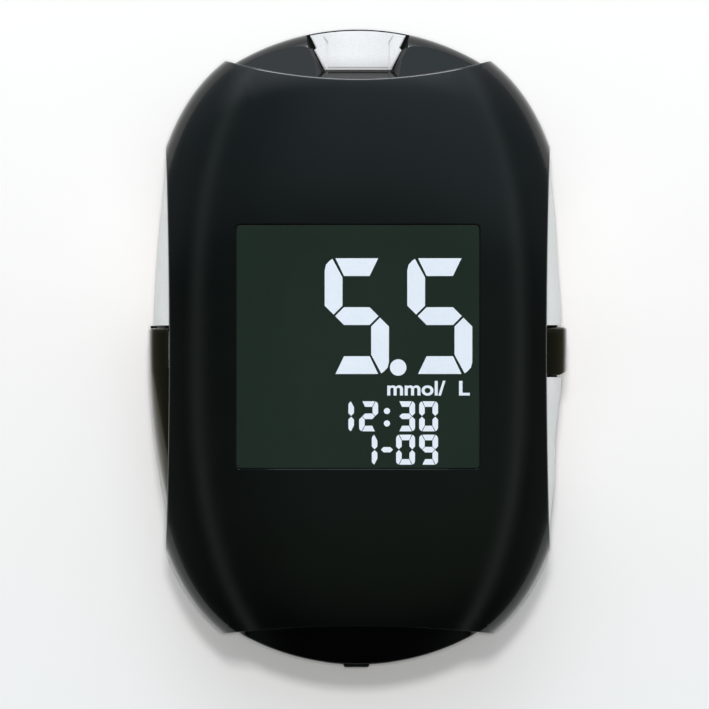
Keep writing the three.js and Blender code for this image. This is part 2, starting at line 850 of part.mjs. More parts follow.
function stripSlot(low, high) {
  return block([-slotHalfWidth, low, slotLow], [slotHalfWidth, high, slotHigh]);
}

function portSurround() {
  return surroundBody(0).subtract(stripSlot(surroundInner - cutOverrun, topNoseReach + cutOverrun));
}

function stripConnector() {
  const outer = surroundInner - seatGap;
  let connector = block(
    [-connectorHalfWidth, connectorInner, boardHigh],
    [connectorHalfWidth, outer, boardHigh + connectorHeight],
  ).subtract(stripSlot(connectorInner - cutOverrun, outer + cutOverrun));
  for (const share of stripContactShares) {
    const x = share * slotHalfWidth;
    connector = connector.subtract(block(
      [x - stripContactGroove / 2, connectorInner - cutOverrun, boardHigh - cutOverrun],
      [x + stripContactGroove / 2, connectorInner + stripContactLength, slotLow + slotHeight / 2],
    ));
  }
  return connector;
}

function stripContact(share) {
  const x = share * slotHalfWidth;
  const start = connectorInner - stripContactTail;
  return block(
    [x - stripContactWidth / 2, start, boardHigh],
    [x + stripContactWidth / 2, start + stripContactLength, boardHigh + stripContactThickness],
  );
}

// Display parts

function displayGasket() {
  const hole = aroundWindow(flangeMargin - gasketWidth, panelHigh - cutOverrun, flangeLow + cutOverrun);
  return aroundWindow(flangeMargin, panelHigh, flangeLow).subtract(hole);
}

// Plan corners of the rubber strip between the board and the panel
function rubberStripPlace(gap) {
  const halfLength = windowHalfWidth + panelMargin - stripEndInset;
  const low = windowLow - panelMargin + stripInset;
  return [
    [-halfLength - gap, low - gap],
    [halfLength + gap, low + stripDepth + gap],
  ];
}

function displayConnector() {
  const [low, high] = rubberStripPlace(0);
  return block([...low, boardHigh], [...high, panelLow]);
}

function lightGuide() {
  const [, high] = rubberStripPlace(seatGap);
  const half = windowHalfWidth + panelMargin;
  return block([-half, high[1], guideLow], [half, windowHigh + panelMargin, panelLow]);
}

function displayFrame() {
  const outer = aroundWindow(frameMargin, boardHigh, panelHigh);
  const upper = aroundWindow(frameMargin - frameRim, guideLow, panelHigh + cutOverrun);
  const lower = aroundWindow(frameMargin - frameRim, boardHigh - cutOverrun, guideLow - frameFloor);
  const [low, high] = rubberStripPlace(seatGap);
  return outer.subtract(upper).subtract(lower).subtract(block([...low, everyLow], [...high, everyHigh]));
}

// Circuit board

function mainBoard() {
  const end = noseInner - boardEndGap;
  let board = plate(pebbleOutline(-boardInset), boardLow, boardHigh).intersect(block(
    [-pebbleHalfWidth, -end, boardLow],
    [pebbleHalfWidth, end, boardHigh],
  ));
  for (const [x, y] of bossPlaces) {
    board = board.subtract(bar(rearBossRadius + seatGap, x, y, everyLow, everyHigh));
  }
  return board;
}

function chip(x, y, length, width, height) {
  return block(
    [x - length / 2, y - width / 2, boardHigh],
    [x + length / 2, y + width / 2, boardHigh + height],
  );
}

function buzzer() {
  const low = boardLow - buzzerHeight;
  const hole = bar(buzzerHoleRadius, 0, buzzerY, low - cutOverrun, low + buzzerHeight / 2, smallRoundSteps);
  return bar(buzzerRadius, 0, buzzerY, low, boardLow).subtract(hole);
}

// Coin cell with its narrower negative cap on the board's side
function coinCell() {
  const cap = bar(cellRadius - cellRimStep, 0, cellY, cellHigh - cellRimStep, cellHigh);
  return bar(cellRadius, 0, cellY, cellLow, cellHigh - cellRimStep).add(cap);
}

// Spring leaf that presses on the cell from the board
function negativeContact() {
  const touch = cellHigh + seatGap;
  const low = boardLow - contactThickness;
  const points = [
    [-contactFoot, boardLow],
    [-contactFoot, low],
    [-contactThickness, low],
    [contactFoot, touch],
    [contactFoot * 2, touch],
    [contactFoot * 2, touch + contactThickness],
    [contactFoot, touch + contactThickness],
    [0, boardLow],
  ];
  return endPrism(points, cellY - contactWidth / 2, cellY + contactWidth / 2);
}

// Upright clip that touches the rim of the cell, with its foot on the board
function positiveContact() {
  const near = cellRadius + seatGap;
  const points = [
    [near, cellLow + seatGap],
    [near + contactThickness, cellLow + seatGap],
    [near + contactThickness, boardLow - contactThickness],
    [near + contactFoot, boardLow - contactThickness],
    [near + contactFoot, boardLow],
    [near, boardLow],
  ];
  return endPrism(points, cellY - contactWidth / 2, cellY + contactWidth / 2);
}

// Battery door with two hinge tongues, a latch and a fingernail grip

function batteryDoor() {
  const inside = floorThickness;
  let door = block([-doorHalfWidth, doorLow, doorRecess], [doorHalfWidth, doorHigh, inside]);
  const tongueLow = inside + seatGap;
  const tongueHigh = tongueLow + tongueThickness;
  const tongue = block(
    [tongueInner, doorLow - tongueReach, tongueLow],
    [tongueOuter, doorLow + tongueRootEnd, tongueHigh],
  ).add(block(
    [tongueInner, doorLow + tongueRootStart, doorRecess],
    [tongueOuter, doorLow + tongueRootEnd, tongueHigh],
  ));
  const latch = block(
    [-latchHalfWidth, doorHigh - latchInset - latchThickness, doorRecess],
    [latchHalfWidth, doorHigh - latchInset, inside + latchHeight],
  );
  door = door.add(tongue).add(tongue.mirror([1, 0, 0])).add(latch);
  return door.subtract(block(
    [-gripHalfWidth, doorHigh - gripInset - gripLength, doorRecess - cutOverrun],
    [gripHalfWidth, doorHigh - gripInset, doorRecess + gripDepth],
  ));
}

function caseScrew([x, y]) {
  const headLow = screwSeatHeight - screwHeadHeight;
  const head = bar(screwHeadRadius, x, y, headLow, screwSeatHeight);
  const shank = bar(screwShankRadius, x, y, headLow, screwSeatHeight + screwLength, smallRoundSteps);
  const recess = (halfX, halfY) => block(
    [x - halfX, y - halfY, headLow - cutOverrun],
    [x + halfX, y + halfY, headLow + screwRecessDepth],
  );
  return head.add(shank)
    .subtract(recess(screwRecessWidth / 2, screwRecessLength / 2))
    .subtract(recess(screwRecessLength / 2, screwRecessWidth / 2));
}

// Key on the right edge

function jogKey() {
  const region = block([keyInner, keyBottom, keyLow], [pebbleHalfWidth, keyTop, keyHigh]);
  const pocket = block(
    [keyInner - cutOverrun, keyMiddle - keyPocketHalfLength, jogHeight - keyPocketHalfHeight],
    [keyInner + keyPocketDepth, keyMiddle + keyPocketHalfLength, jogHeight + keyPocketHalfHeight],
  );
  const bore = bar(
    pinRadius + pinGap,
    rockX,
    keyMiddle,
    jogHeight - pinHalfLength - pinGap,
    jogHeight + pinHalfLength + pinGap,
    smallRoundSteps,
  );
  return thumbBody.intersect(region).subtract(shellRoom).subtract(pocket).subtract(bore);
}

function jogPlunger() {
  const stem = block(
    [plungerInner, keyMiddle - plungerStemHalfWidth, jogHeight - plungerStemHalfWidth],
    [plungerHeadOuter, keyMiddle + plungerStemHalfWidth, jogHeight + plungerStemHalfWidth],
  );
  const head = block(
    [plungerHeadInner, keyMiddle - plungerHeadHalfLength, jogHeight - plungerHeadHalfHeight],
    [plungerHeadOuter, keyMiddle + plungerHeadHalfLength, jogHeight + plungerHeadHalfHeight],
  );
  const bore = bar(pinRadius + pinGap / 2, rockX, keyMiddle, everyLow, everyHigh, smallRoundSteps);
  return stem.add(head).subtract(bore);
}

function jogPin() {
  const low = jogHeight - pinHalfLength;
  const high = jogHeight + pinHalfLength;
  return bar(pinRadius, rockX, keyMiddle, low, high, smallRoundSteps);
}

function jogSwitch() {
  const bore = plungerStemHalfWidth + switchBoreGap;
  const body = block(
    [switchInner, keyMiddle - switchHalfLength, boardHigh],
    [switchOuter, keyMiddle + switchHalfLength, boardHigh + switchHeight],
  );
  return body.subtract(block(
    [plungerInner - pressTravel - seatGap, keyMiddle - bore, jogHeight - bore],
    [switchOuter + cutOverrun, keyMiddle + bore, jogHeight + bore],
  ));
}

// Data socket and flap

function dataSocket() {
  const high = boardHigh + socketHeight;
  const shell = block([-socketHalfWidth, -socketOuter, boardHigh], [socketHalfWidth, -socketInner, high]);
  return shell.subtract(block(
    [-socketHalfWidth + socketWall, -socketOuter - cutOverrun, boardHigh + socketWall],
    [socketHalfWidth - socketWall, -socketInner - socketWall, high - socketWall],
  ));
}

function portFlap() {
  const plate = noseBody.intersect(block(
    [-flapHalfWidth, -pebbleHalfLength - cutOverrun, flapLow],
    [flapHalfWidth, -flapInner, flapHigh],
  ));
  const plugMiddle = boardHigh + socketHeight / 2;
  const plugHalfHeight = socketHeight / 2 - socketWall - plugMargin / 2;
  const plug = block(
    [-plugHalfWidth, -flapInner - lipRoot / 2, plugMiddle - plugHalfHeight],
    [plugHalfWidth, -flapInner + plugDepth, plugMiddle + plugHalfHeight],
  );
  const lip = block(
    [lipMiddle - lipWidth / 2, -bottomNoseReach - lipReach, partingHeight - lipHeight / 2],
    [lipMiddle + lipWidth / 2, -bottomNoseReach + lipRoot, partingHeight + lipHeight / 2],
  );
  return plate.add(plug).add(lip);
}

// Materials: colour, roughness and metalness of each kind of surface
const glossBlack = [0x0e1214, 0.18, 0];
const satinBlack = [0x16191a, 0.42, 0];
const silverPaint = [0xd6d9db, 0.38, 0.35];
const grainySilver = [0xe0e4e7, 0.6, 0.3];
const windowTint = [0x222c27, 0.12, 0];
const glass = [0x48524c, 0.1, 0];
const whitePlastic = [0xe8e8e4, 0.5, 0];
const foam = [0x1a1a1a, 0.95, 0];
const board = [0x1d5a34, 0.55, 0];
const chipBlack = [0x1b1b1d, 0.6, 0];
const steel = [0xb4b7ba, 0.3, 1];
const gold = [0xc9a24a, 0.3, 1];
const rubber = [0x222426, 0.85, 0];
const greyPlastic = [0x8b8f92, 0.55, 0];

const meter = new THREE.Group();

function place(name, solid, [color, roughness, metalness]) {
  const material = new THREE.MeshStandardMaterial({ color, roughness, metalness });
  const mesh = new THREE.Mesh(geometryOf(solid), material);
  mesh.name = name;
  meter.add(mesh);
}

place('front_cover', frontCover(), glossBlack);
place('display_window', displayWindow(), windowTint);
place('display_gasket', displayGasket(), foam);
place('lcd_panel', aroundWindow(panelMargin, panelLow, panelHigh), glass);
place('light_guide', lightGuide(), whitePlastic);
place('display_frame', displayFrame(), whitePlastic);
place('display_connector', displayConnector(), rubber);
place('middle_frame', middleFrame(), glossBlack);
place('port_surround', portSurround(), grainySilver);
place('strip_connector', stripConnector(), chipBlack);
stripContactShares.forEach((share, index) => {
  place(`strip_contact_${index + 1}`, stripContact(share), gold);
});
place('side_rail_left', leftRail(), silverPaint);
place('side_rail_right', rightRail(), silverPaint);
place('rear_housing', rearHousing(), satinBlack);
place('main_board', mainBoard(), board);
const processor = chip(processorX, processorY, processorSide, processorSide, processorHeight);
const memory = chip(memoryX, memoryY, memoryLength, memoryWidth, memoryHeight);
place('processor_chip', processor, chipBlack);
place('memory_chip', memory, chipBlack);
place('buzzer', buzzer(), chipBlack);
place('coin_cell', coinCell(), steel);
place('battery_contact_negative', negativeContact(), steel);
place('battery_contact_positive', positiveContact(), steel);
place('battery_door', batteryDoor(), satinBlack);
bossPlaces.forEach((spot, index) => {
  place(`case_screw_${index + 1}`, caseScrew(spot), steel);
});
place('eject_slider', ejectSlider(), glossBlack);
place('eject_arm', ejectArm(), greyPlastic);
place('eject_return_spring', returnSpring(), steel);
place('jog_key', jogKey(), glossBlack);
place('jog_plunger', jogPlunger(), greyPlastic);
place('jog_pin', jogPin(), steel);
place('jog_switch', jogSwitch(), chipBlack);
place('data_socket', dataSocket(), steel);
place('port_flap', portFlap(), rubber);

export default meter;
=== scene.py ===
import json
import math
from contextlib import contextmanager

import bmesh
import bpy
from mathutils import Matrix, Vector


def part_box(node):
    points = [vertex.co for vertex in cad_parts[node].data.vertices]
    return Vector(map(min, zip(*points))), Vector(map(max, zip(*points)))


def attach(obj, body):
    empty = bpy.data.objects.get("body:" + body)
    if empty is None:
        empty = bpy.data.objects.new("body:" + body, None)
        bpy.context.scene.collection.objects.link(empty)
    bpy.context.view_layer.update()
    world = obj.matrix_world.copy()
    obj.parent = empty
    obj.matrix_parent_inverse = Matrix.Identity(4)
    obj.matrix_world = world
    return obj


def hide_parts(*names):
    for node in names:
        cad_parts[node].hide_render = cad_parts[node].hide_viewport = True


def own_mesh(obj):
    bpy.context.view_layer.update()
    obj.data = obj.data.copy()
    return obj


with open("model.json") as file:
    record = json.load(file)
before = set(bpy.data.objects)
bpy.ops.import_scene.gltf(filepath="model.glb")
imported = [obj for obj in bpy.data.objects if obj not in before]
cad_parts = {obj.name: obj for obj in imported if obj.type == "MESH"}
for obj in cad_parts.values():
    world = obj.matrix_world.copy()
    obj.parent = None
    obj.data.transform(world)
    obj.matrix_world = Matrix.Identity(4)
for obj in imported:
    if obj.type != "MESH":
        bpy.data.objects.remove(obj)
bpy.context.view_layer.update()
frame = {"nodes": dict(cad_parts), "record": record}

# Shapes are worked out in millimetres and made in metres
MM = 0.001

# Pebble shape of the whole meter
HALF_WIDTH = 28.0
HALF_LENGTH = 41.6
PEBBLE_POWER = 2.8
PARTING = 8.0
FRONT_HEIGHT = 9.0
FRONT_POWER = 3.6
BACK_DEPTH = 8.4
BACK_POWER = 4.0
WALL = 1.4
FLOOR = 1.5
SEAM = 0.1
EDGE_ROLL = 0.26
BOTTOM_ROLL = 0.02
BOTTOM_ROLL_BELOW_SHARE = -0.75
EDGE_FADE = 1.5
FIT = 0.3

# Scoops that cut the shells back: reach at the middle, reach at the corners, half width between them
TOP_SCOOP = (35.0, 37.3, 17.108)
BOTTOM_SCOOP = (36.0, 37.0, 17.108)
SIDE_SCOOP = (24.5, 24.95, 26.0)

# Noses of the middle frame
TOP_NOSE_REACH = 41.5
BOTTOM_NOSE_REACH = 41.1
NOSE_RADIUS = 31.2
NOSE_DEPTH = 7.8
NOSE_POWER = 2.6
NOSE_HEIGHT = 8.0
NOSE_SPREAD = math.radians(31)
NOSE_INSIDE = 1.8
NOSE_LEAST = 1.2
NOSE_WALL = 2.3
NOSE_ROLL = 0.25
NOSE_RISE = 0.66
NOSE_BEND = 0.027
NOSE_BLEND = 0.7

# Belt that the rails, the slider and the key follow
BELT_RADIUS = 168.8
BELT_REACH = 26.5
BELT_HALF_HEIGHT = 9.8
BELT_POWER = 2.4
KEY_TOP = 2.75
KEY_BOTTOM = -3.5
KEY_GAP = 0.26
RAIL_LOW = 3.3
RAIL_HIGH = 12.7
RAIL_THICKNESS = 2.8
RAIL_END = 24.2
RAIL_ROUND = 0.35
LEFT_RAIL_START = 2.97
EJECT_TRAVEL = 4.5

# Display window
WINDOW_HALF = 15.72
WINDOW_MIDDLE = 0.2
WINDOW_RADIUS = 0.42
WINDOW_GAP = 0.14
WINDOW_ROLL = 0.04
LENS_LOW = 14.7
LENS_DROP = 0.03
FIGURE_RISE = 0.015
FIGURE_DEPTH = 0.06

# Flap over the data socket
FLAP_HALF = 5.6
FLAP_LOW = 6.1
FLAP_HIGH = 10.0
FLAP_INNER = -39.6
FLAP_GAP = 0.15
FLAP_ROUND = 0.3

# Steps of the curved forms
SURFACE_STEPS = 26
CLOSE_STEP_SHARE = 0.004
ROLL_STEPS = 4
LIP_STEPS = 3
INNER_STEPS = 8
BASE_RAYS = 288
LENS_RINGS = 12
NOSE_STEPS = 30
NOSE_ROLL_STEPS = 6
NOSE_RAYS = 96
RAIL_STEPS = 64
BAND_STEPS = 20
LOW_STEPS = 10

# Meshing: nearest points, radius left open on an axis, shading and ends of the cuts
JOIN_DISTANCE = 0.0015
LEAST_EDGE = 0.001
LEAST_WALL = 0.05
AXIS_RADIUS = 0.02
SMOOTH_DEGREES = 32
SHELL_SMOOTH_DEGREES = 38
BEVEL_DEGREES = 35
CUT_LOW = -3.0
CUT_HIGH = 30.0
TINY = 1e-9


def even_steps(start, stop, steps):
    """Values from start to stop, both included."""
    return [start + (stop - start) * step / steps for step in range(steps + 1)]


def smooth_step(value):
    share = min(max(value, 0.0), 1.0)
    return share * share * (3 - 2 * share)


# Outlines: distance from the origin in a direction

def pebble_reach(angle, offset=0.0):
    across = abs(math.cos(angle) / (HALF_WIDTH + offset)) ** PEBBLE_POWER
    along = abs(math.sin(angle) / (HALF_LENGTH + offset)) ** PEBBLE_POWER
    return (across + along) ** (-1 / PEBBLE_POWER)


def bow_reach(towards, sideways, bow):
    """Reach to a bowed line whose middle is straight ahead, for a direction split in two parts."""
    middle, corner, half = bow
    bend = (corner - middle) / half ** 2 * sideways ** 2
    root = towards ** 2 - 4 * bend * middle
    if towards <= 0 or root < 0:
        return math.inf
    return 2 * middle / (towards + math.sqrt(root))


def scoop_reach(angle):
    x, y = math.cos(angle), math.sin(angle)
    return min(
        bow_reach(y, x, TOP_SCOOP),
        bow_reach(-y, x, BOTTOM_SCOOP),
        bow_reach(x, y, SIDE_SCOOP),
        bow_reach(-x, y, SIDE_SCOOP),
    )


def cover_reach(angle):
    return min(pebble_reach(angle), scoop_reach(angle))


def nose_reach(angle):
    """Reach to the arc of a nose, or to the pebble where that is nearer."""
    if math.sin(angle) > 0:
        middle = TOP_NOSE_REACH - NOSE_RADIUS
    else:
        middle = NOSE_RADIUS - BOTTOM_NOSE_REACH
    towards = middle * math.sin(angle)
    arc = towards + math.sqrt(towards ** 2 - middle ** 2 + NOSE_RADIUS ** 2)
    return min(arc, pebble_reach(angle))


def nose_end(x, reach):
    """How far along Y the arc of a nose lies beside its middle."""
    return reach - NOSE_RADIUS + math.sqrt(NOSE_RADIUS ** 2 - x ** 2)


def window_reach(angle, margin):
    """Reach to the rounded outline of the window, widened by a margin."""
    x, y = math.cos(angle), math.sin(angle)
    half = WINDOW_HALF + margin
    radius = WINDOW_RADIUS + margin
    corner = half - radius
    side = half / max(abs(x), TINY)
    end = (half + math.copysign(WINDOW_MIDDLE, y)) / max(abs(y), TINY)
    reach = min(side, end)
    if abs(reach * x) <= corner or abs(reach * y - WINDOW_MIDDLE) <= corner:
        return reach
    centre_x = math.copysign(corner, x)
    centre_y = WINDOW_MIDDLE + math.copysign(corner, y)
    towards = centre_x * x + centre_y * y
    root = towards ** 2 - centre_x ** 2 - centre_y ** 2 + radius ** 2
    return towards + math.sqrt(max(root, 0.0))


def belt_x(reach, y):
    radius = BELT_RADIUS + reach - BELT_REACH
    return reach - radius + math.sqrt(radius ** 2 - y ** 2)


def pebble_x(y, offset):
    share = min(abs(y) / (HALF_LENGTH + offset), 1.0)
    return (HALF_WIDTH + offset) * bulge(share, PEBBLE_POWER)


# Heights of the curved faces

def bulge(share, power):
    """Share of a dome's height at a share of its reach."""
    return max(1 - share ** power, 0.0) ** (1 / power)


def dome_point(turn, reach, height, power):
    """How far out and how high a dome is at a turn from its middle to its rim."""
    return reach * math.sin(turn) ** (2 / power), height * max(math.cos(turn), 0.0) ** (2 / power)


def pebble_share(x, y):
    """How far out a point lies between the middle and the pebble's outline."""
    across = abs(x) / HALF_WIDTH
    along = abs(y) / HALF_LENGTH
    return (across ** PEBBLE_POWER + along ** PEBBLE_POWER) ** (1 / PEBBLE_POWER)


def lens_height(x, y):
    return PARTING + FRONT_HEIGHT * bulge(pebble_share(x, y), FRONT_POWER) - LENS_DROP


def back_height(x, y):
    return max(PARTING - BACK_DEPTH * bulge(pebble_share(x, y), BACK_POWER), 0.0)


# Rays of both shells

CORNER_SEARCHES = ((60, 72), (55, 40), (-60, -72), (-55, -40))
CORNER_SHIFTS = (-0.9, -0.45, -0.15, 0, 0.15, 0.45, 0.9)
WINDOW_FAN = 1.2 * WINDOW_RADIUS
WINDOW_FAN_STEPS = 8
LEAST_TURN = math.radians(0.04)
HALVINGS = 50


def find_corner(low, high):
    """Direction where the scoops pass the pebble's outline, by halving."""
    sign = pebble_reach(low) > scoop_reach(low)
    for _ in range(HALVINGS):
        middle = (low + high) / 2
        if (pebble_reach(middle) > scoop_reach(middle)) == sign:
            low = middle
        else:
            high = middle
    return (low + high) / 2


def shell_angles():
    """Directions of the rays, with rays at each corner of the shells' outlines."""
    turn = 2 * math.pi
    angles = even_steps(0.0, turn, BASE_RAYS)[:-1]
    for low, high in CORNER_SEARCHES:
        corner = find_corner(math.radians(low), math.radians(high))
        for shift in CORNER_SHIFTS:
            angle = corner + math.radians(shift)
            angles += [angle, math.pi - angle]
    for side_x in (-1, 1):
        for side_y in (-1, 1):
            for spread in even_steps(-WINDOW_FAN, WINDOW_FAN, WINDOW_FAN_STEPS):
                x = side_x * WINDOW_HALF + spread * side_y
                y = WINDOW_MIDDLE + side_y * WINDOW_HALF - spread * side_x
                angles.append(math.atan2(y, x))
    kept = []
    for angle in sorted({round(angle % turn, 7) for angle in angles}):
        if not kept or angle - kept[-1] > LEAST_TURN:
            kept.append(angle)
    return kept


SHELL_ANGLES = shell_angles()


def ray_section(profile, angle):
    """Section along one ray, from a function that gives its distances and heights."""
    x, y = math.cos(angle), math.sin(angle)
    return [(distance * x, distance * y, height) for distance, height in profile(angle)]


def ray_rings(profile):
    """Rings round the middle, one for each point of the section along a ray."""
    return list(zip(*[ray_section(profile, angle) for angle in SHELL_ANGLES]))


# Mesh helpers

@contextmanager
def editing(mesh):
    """Opens a mesh for changes."""
    form = bmesh.new()
    form.from_mesh(mesh)
    yield form
    form.to_mesh(mesh)
    form.free()


def shade(mesh, degrees=SMOOTH_DEGREES):
    """Shades a mesh smooth, with sharp edges where its faces turn further than some degrees."""
    mesh.polygons.foreach_set("use_smooth", [True] * len(mesh.polygons))
    mesh.set_sharp_from_angle(angle=math.radians(degrees))


def new_object(name, data):
    obj = bpy.data.objects.new(name, data)
    bpy.context.scene.collection.objects.link(obj)
    return obj


def sweep(name, sections, closed=False, smooth_degrees=SMOOTH_DEGREES):
    """Body through closed sections in millimetres; open sweeps get end caps."""
    count = len(sections[0])
    rows = len(sections)
    points = [Vector(point) * MM for section in sections for point in section]
    faces = []
    for row in range(rows if closed else rows - 1):
        here = row * count
        ahead = (row + 1) % rows * count
        for point in range(count):
            beside = (point + 1) % count
            faces.append((here + point, ahead + point, ahead + beside, here + beside))
    if not closed:
        faces.append(tuple(range(count)))
        faces.append(tuple(range(rows * count - 1, (rows - 1) * count - 1, -1)))
    mesh = bpy.data.meshes.new(name)
    mesh.from_pydata(points, [], faces)
    with editing(mesh) as form:
        bmesh.ops.remove_doubles(form, verts=form.verts, dist=JOIN_DISTANCE * MM)
        bmesh.ops.dissolve_degenerate(form, edges=form.edges, dist=LEAST_EDGE * MM)
        bmesh.ops.recalc_face_normals(form, faces=form.faces)
    shade(mesh, smooth_degrees)
    return new_object(name, mesh)


def bezier(start, control, end, steps):
    """Points on a quadratic curve, both ends left out."""
    points = []
    for step in range(1, steps):
        share = step / steps
        points.append(tuple(
            (1 - share) ** 2 * a + 2 * share * (1 - share) * b + share ** 2 * c
            for a, b, c in zip(start, control, end)
        ))
    return points


def evaluated_mesh(obj):
    bpy.context.view_layer.update()
    return bpy.data.meshes.new_from_object(obj.evaluated_get(bpy.context.evaluated_depsgraph_get()))


def settle(obj):
    """Applies the modifiers of an object."""
    mesh = evaluated_mesh(obj)
    old = obj.data
    obj.modifiers.clear()
    obj.data = mesh
    bpy.data.meshes.remove(old)
    shade(mesh)


def add_bevel(obj, width, segments=2):
    modifier = obj.modifiers.new("rounding", "BEVEL")
    modifier.width = width * MM
    modifier.segments = segments
    modifier.limit_method = "ANGLE"
    modifier.angle_limit = math.radians(BEVEL_DEGREES)
    modifier.harden_normals = False
    settle(obj)


def carve(obj, *cutters):
    """Cuts the cutters out of an object and removes them."""
    for cutter in cutters:
        modifier = obj.modifiers.new("cut", "BOOLEAN")
        modifier.operation = "DIFFERENCE"
        modifier.solver = "EXACT"
        modifier.object = cutter
        settle(obj)
        bpy.data.objects.remove(cutter)


def join(obj, *others):
    """Adds the meshes of other objects to an object and removes them."""
    with editing(obj.data) as form:
        for other in others:
            form.from_mesh(other.data)
    shade(obj.data)
    for other in others:
        bpy.data.objects.remove(other)


def slice_across(form, axis, place):
    """Adds edges where a plane across an axis cuts the faces."""
    everything = form.verts[:] + form.edges[:] + form.faces[:]
    bmesh.ops.bisect_plane(form, geom=everything, plane_co=axis * place, plane_no=axis)


def plan_prism(name, plan, low, high, bevel=0.0, segments=2):
    """Upright body over a plan; low and high are heights or functions of a plan point."""
    sections = []
    for level in (low, high):
        sections.append([(x, y, level(x, y) if callable(level) else level) for x, y in plan])
    obj = sweep(name, sections)
    if bevel > 0:
        add_bevel(obj, bevel, segments)
    return obj


def block(name, box, radius, low, high, bevel=0.0, steps=6, segments=2):
    """Upright block over a box of left, bottom, right and top, with rounded corners."""
    left, bottom, right, top = box
    corners = (
        (right - radius, top - radius),
        (left + radius, top - radius),
        (left + radius, bottom + radius),
        (right - radius, bottom + radius),
    )
    plan = []
    for quarter, (centre_x, centre_y) in enumerate(corners):
        for turn in even_steps(quarter * math.pi / 2, (quarter + 1) * math.pi / 2, steps):
            plan.append((centre_x + radius * math.cos(turn), centre_y + radius * math.sin(turn)))
    return plan_prism(name, plan, low, high, bevel, segments)


def box_round(x, y, half_x, half_y):
    return x - half_x, y - half_y, x + half_x, y + half_y


def disc(x, y, radius, steps=24):
    turns = even_steps(0.0, 2 * math.pi, steps)[:-1]
    return [(x + radius * math.cos(turn), y + radius * math.sin(turn)) for turn in turns]


def turned(name, x, y, profile, steps=48):
    """Turned body round an upright axis, from a profile of radii and heights."""
    sections = []
    for radius, height in profile:
        sections.append([(*point, height) for point in disc(x, y, radius, steps)])
    return sweep(name, sections)


def mirrored(points, side):
    return [(side * x, y) for x, y in points]


def corner_pull(gap, radius):
    """How far a rounded corner draws a face in at a distance from its edge."""
    if gap >= radius:
        return 0.0
    return radius - math.sqrt(max(radius ** 2 - (radius - gap) ** 2, 0.0))


# Materials: most of the noise lies between two values; the broad noise has a seed of its own

NOISE_LOW = 0.3
NOISE_HIGH = 0.7
FINE_DETAIL = 3
BROAD_DETAIL = 2
BROAD_SEED = 7


def add_node(tree, kind, inputs, **settings):
    """Adds a shader node; an input is a value or another node's output."""
    made = tree.nodes.new("ShaderNode" + kind)
    for name, value in settings.items():
        setattr(made, name, value)
    for name, value in inputs.items():
        if isinstance(value, bpy.types.NodeSocket):
            tree.links.new(value, made.inputs[name])
        else:
            made.inputs[name].default_value = value
    return made


def value_noise(tree, size, detail, seed):
    """Noise over the object's own coordinates, with grains of a size in millimetres."""
    place = add_node(tree, "TexCoord", {}).outputs["Object"]
    inputs = {"Vector": place, "W": seed, "Scale": 1 / (size * MM), "Detail": detail}
    return add_node(tree, "TexNoise", inputs, noise_dimensions="4D").outputs["Fac"]


def spread_values(tree, source, low, high, source_low=NOISE_LOW, source_high=NOISE_HIGH):
    ends = {"From Min": source_low, "From Max": source_high, "To Min": low, "To Max": high}
    return add_node(tree, "MapRange", {"Value": source, **ends}).outputs["Result"]


def colour_ramp(tree, value, stops):
    """Colour that follows a value through stops of place and colour, from 0 to 1."""
    made = add_node(tree, "ValToRGB", {"Fac": value})
    elements = made.color_ramp.elements
    for place, _ in stops[1:-1]:
        elements.new(place)
    for element, (_, colour) in zip(elements, stops):
        element.color = (*colour, 1)
    return made.outputs["Color"]


def surface(name, dark, light, rough, seed, metallic=0.0, grain=0.2, blotch=9.0, bump=0.004,
            specular=0.5, tint=(1, 1, 1)):
    """Moulded or turned surface: fine grain, broad blotches of handling and a faint relief."""
    material = bpy.data.materials.new(name)
    material.use_nodes = True
    tree = material.node_tree
    fine = value_noise(tree, grain, FINE_DETAIL, seed)
    broad = value_noise(tree, blotch, BROAD_DETAIL, seed + BROAD_SEED)
    half = add_node(tree, "Math", {0: broad, 1: 0.5}, operation="MULTIPLY").outputs["Value"]
    both = add_node(tree, "Math", {0: fine, 1: 0.5, 2: half}, operation="MULTIPLY_ADD").outputs["Value"]
    blend = {"A": (*dark, 1), "B": (*light, 1), "Factor": spread_values(tree, both, 0, 1)}
    relief = {"Strength": 1, "Distance": bump * MM, "Height": fine}
    looks = {
        "Base Color": add_node(tree, "Mix", blend, data_type="RGBA").outputs["Result"],
        "Roughness": spread_values(tree, broad, *rough),
        "Normal": add_node(tree, "Bump", relief).outputs["Normal"],
    }
    shader = tree.nodes["Principled BSDF"]
    for socket, value in looks.items():
        tree.links.new(value, shader.inputs[socket])
    shader.inputs["Metallic"].default_value = metallic
    shader.inputs["Specular IOR Level"].default_value = specular
    shader.inputs["Specular Tint"].default_value = (*tint, 1)
    return material


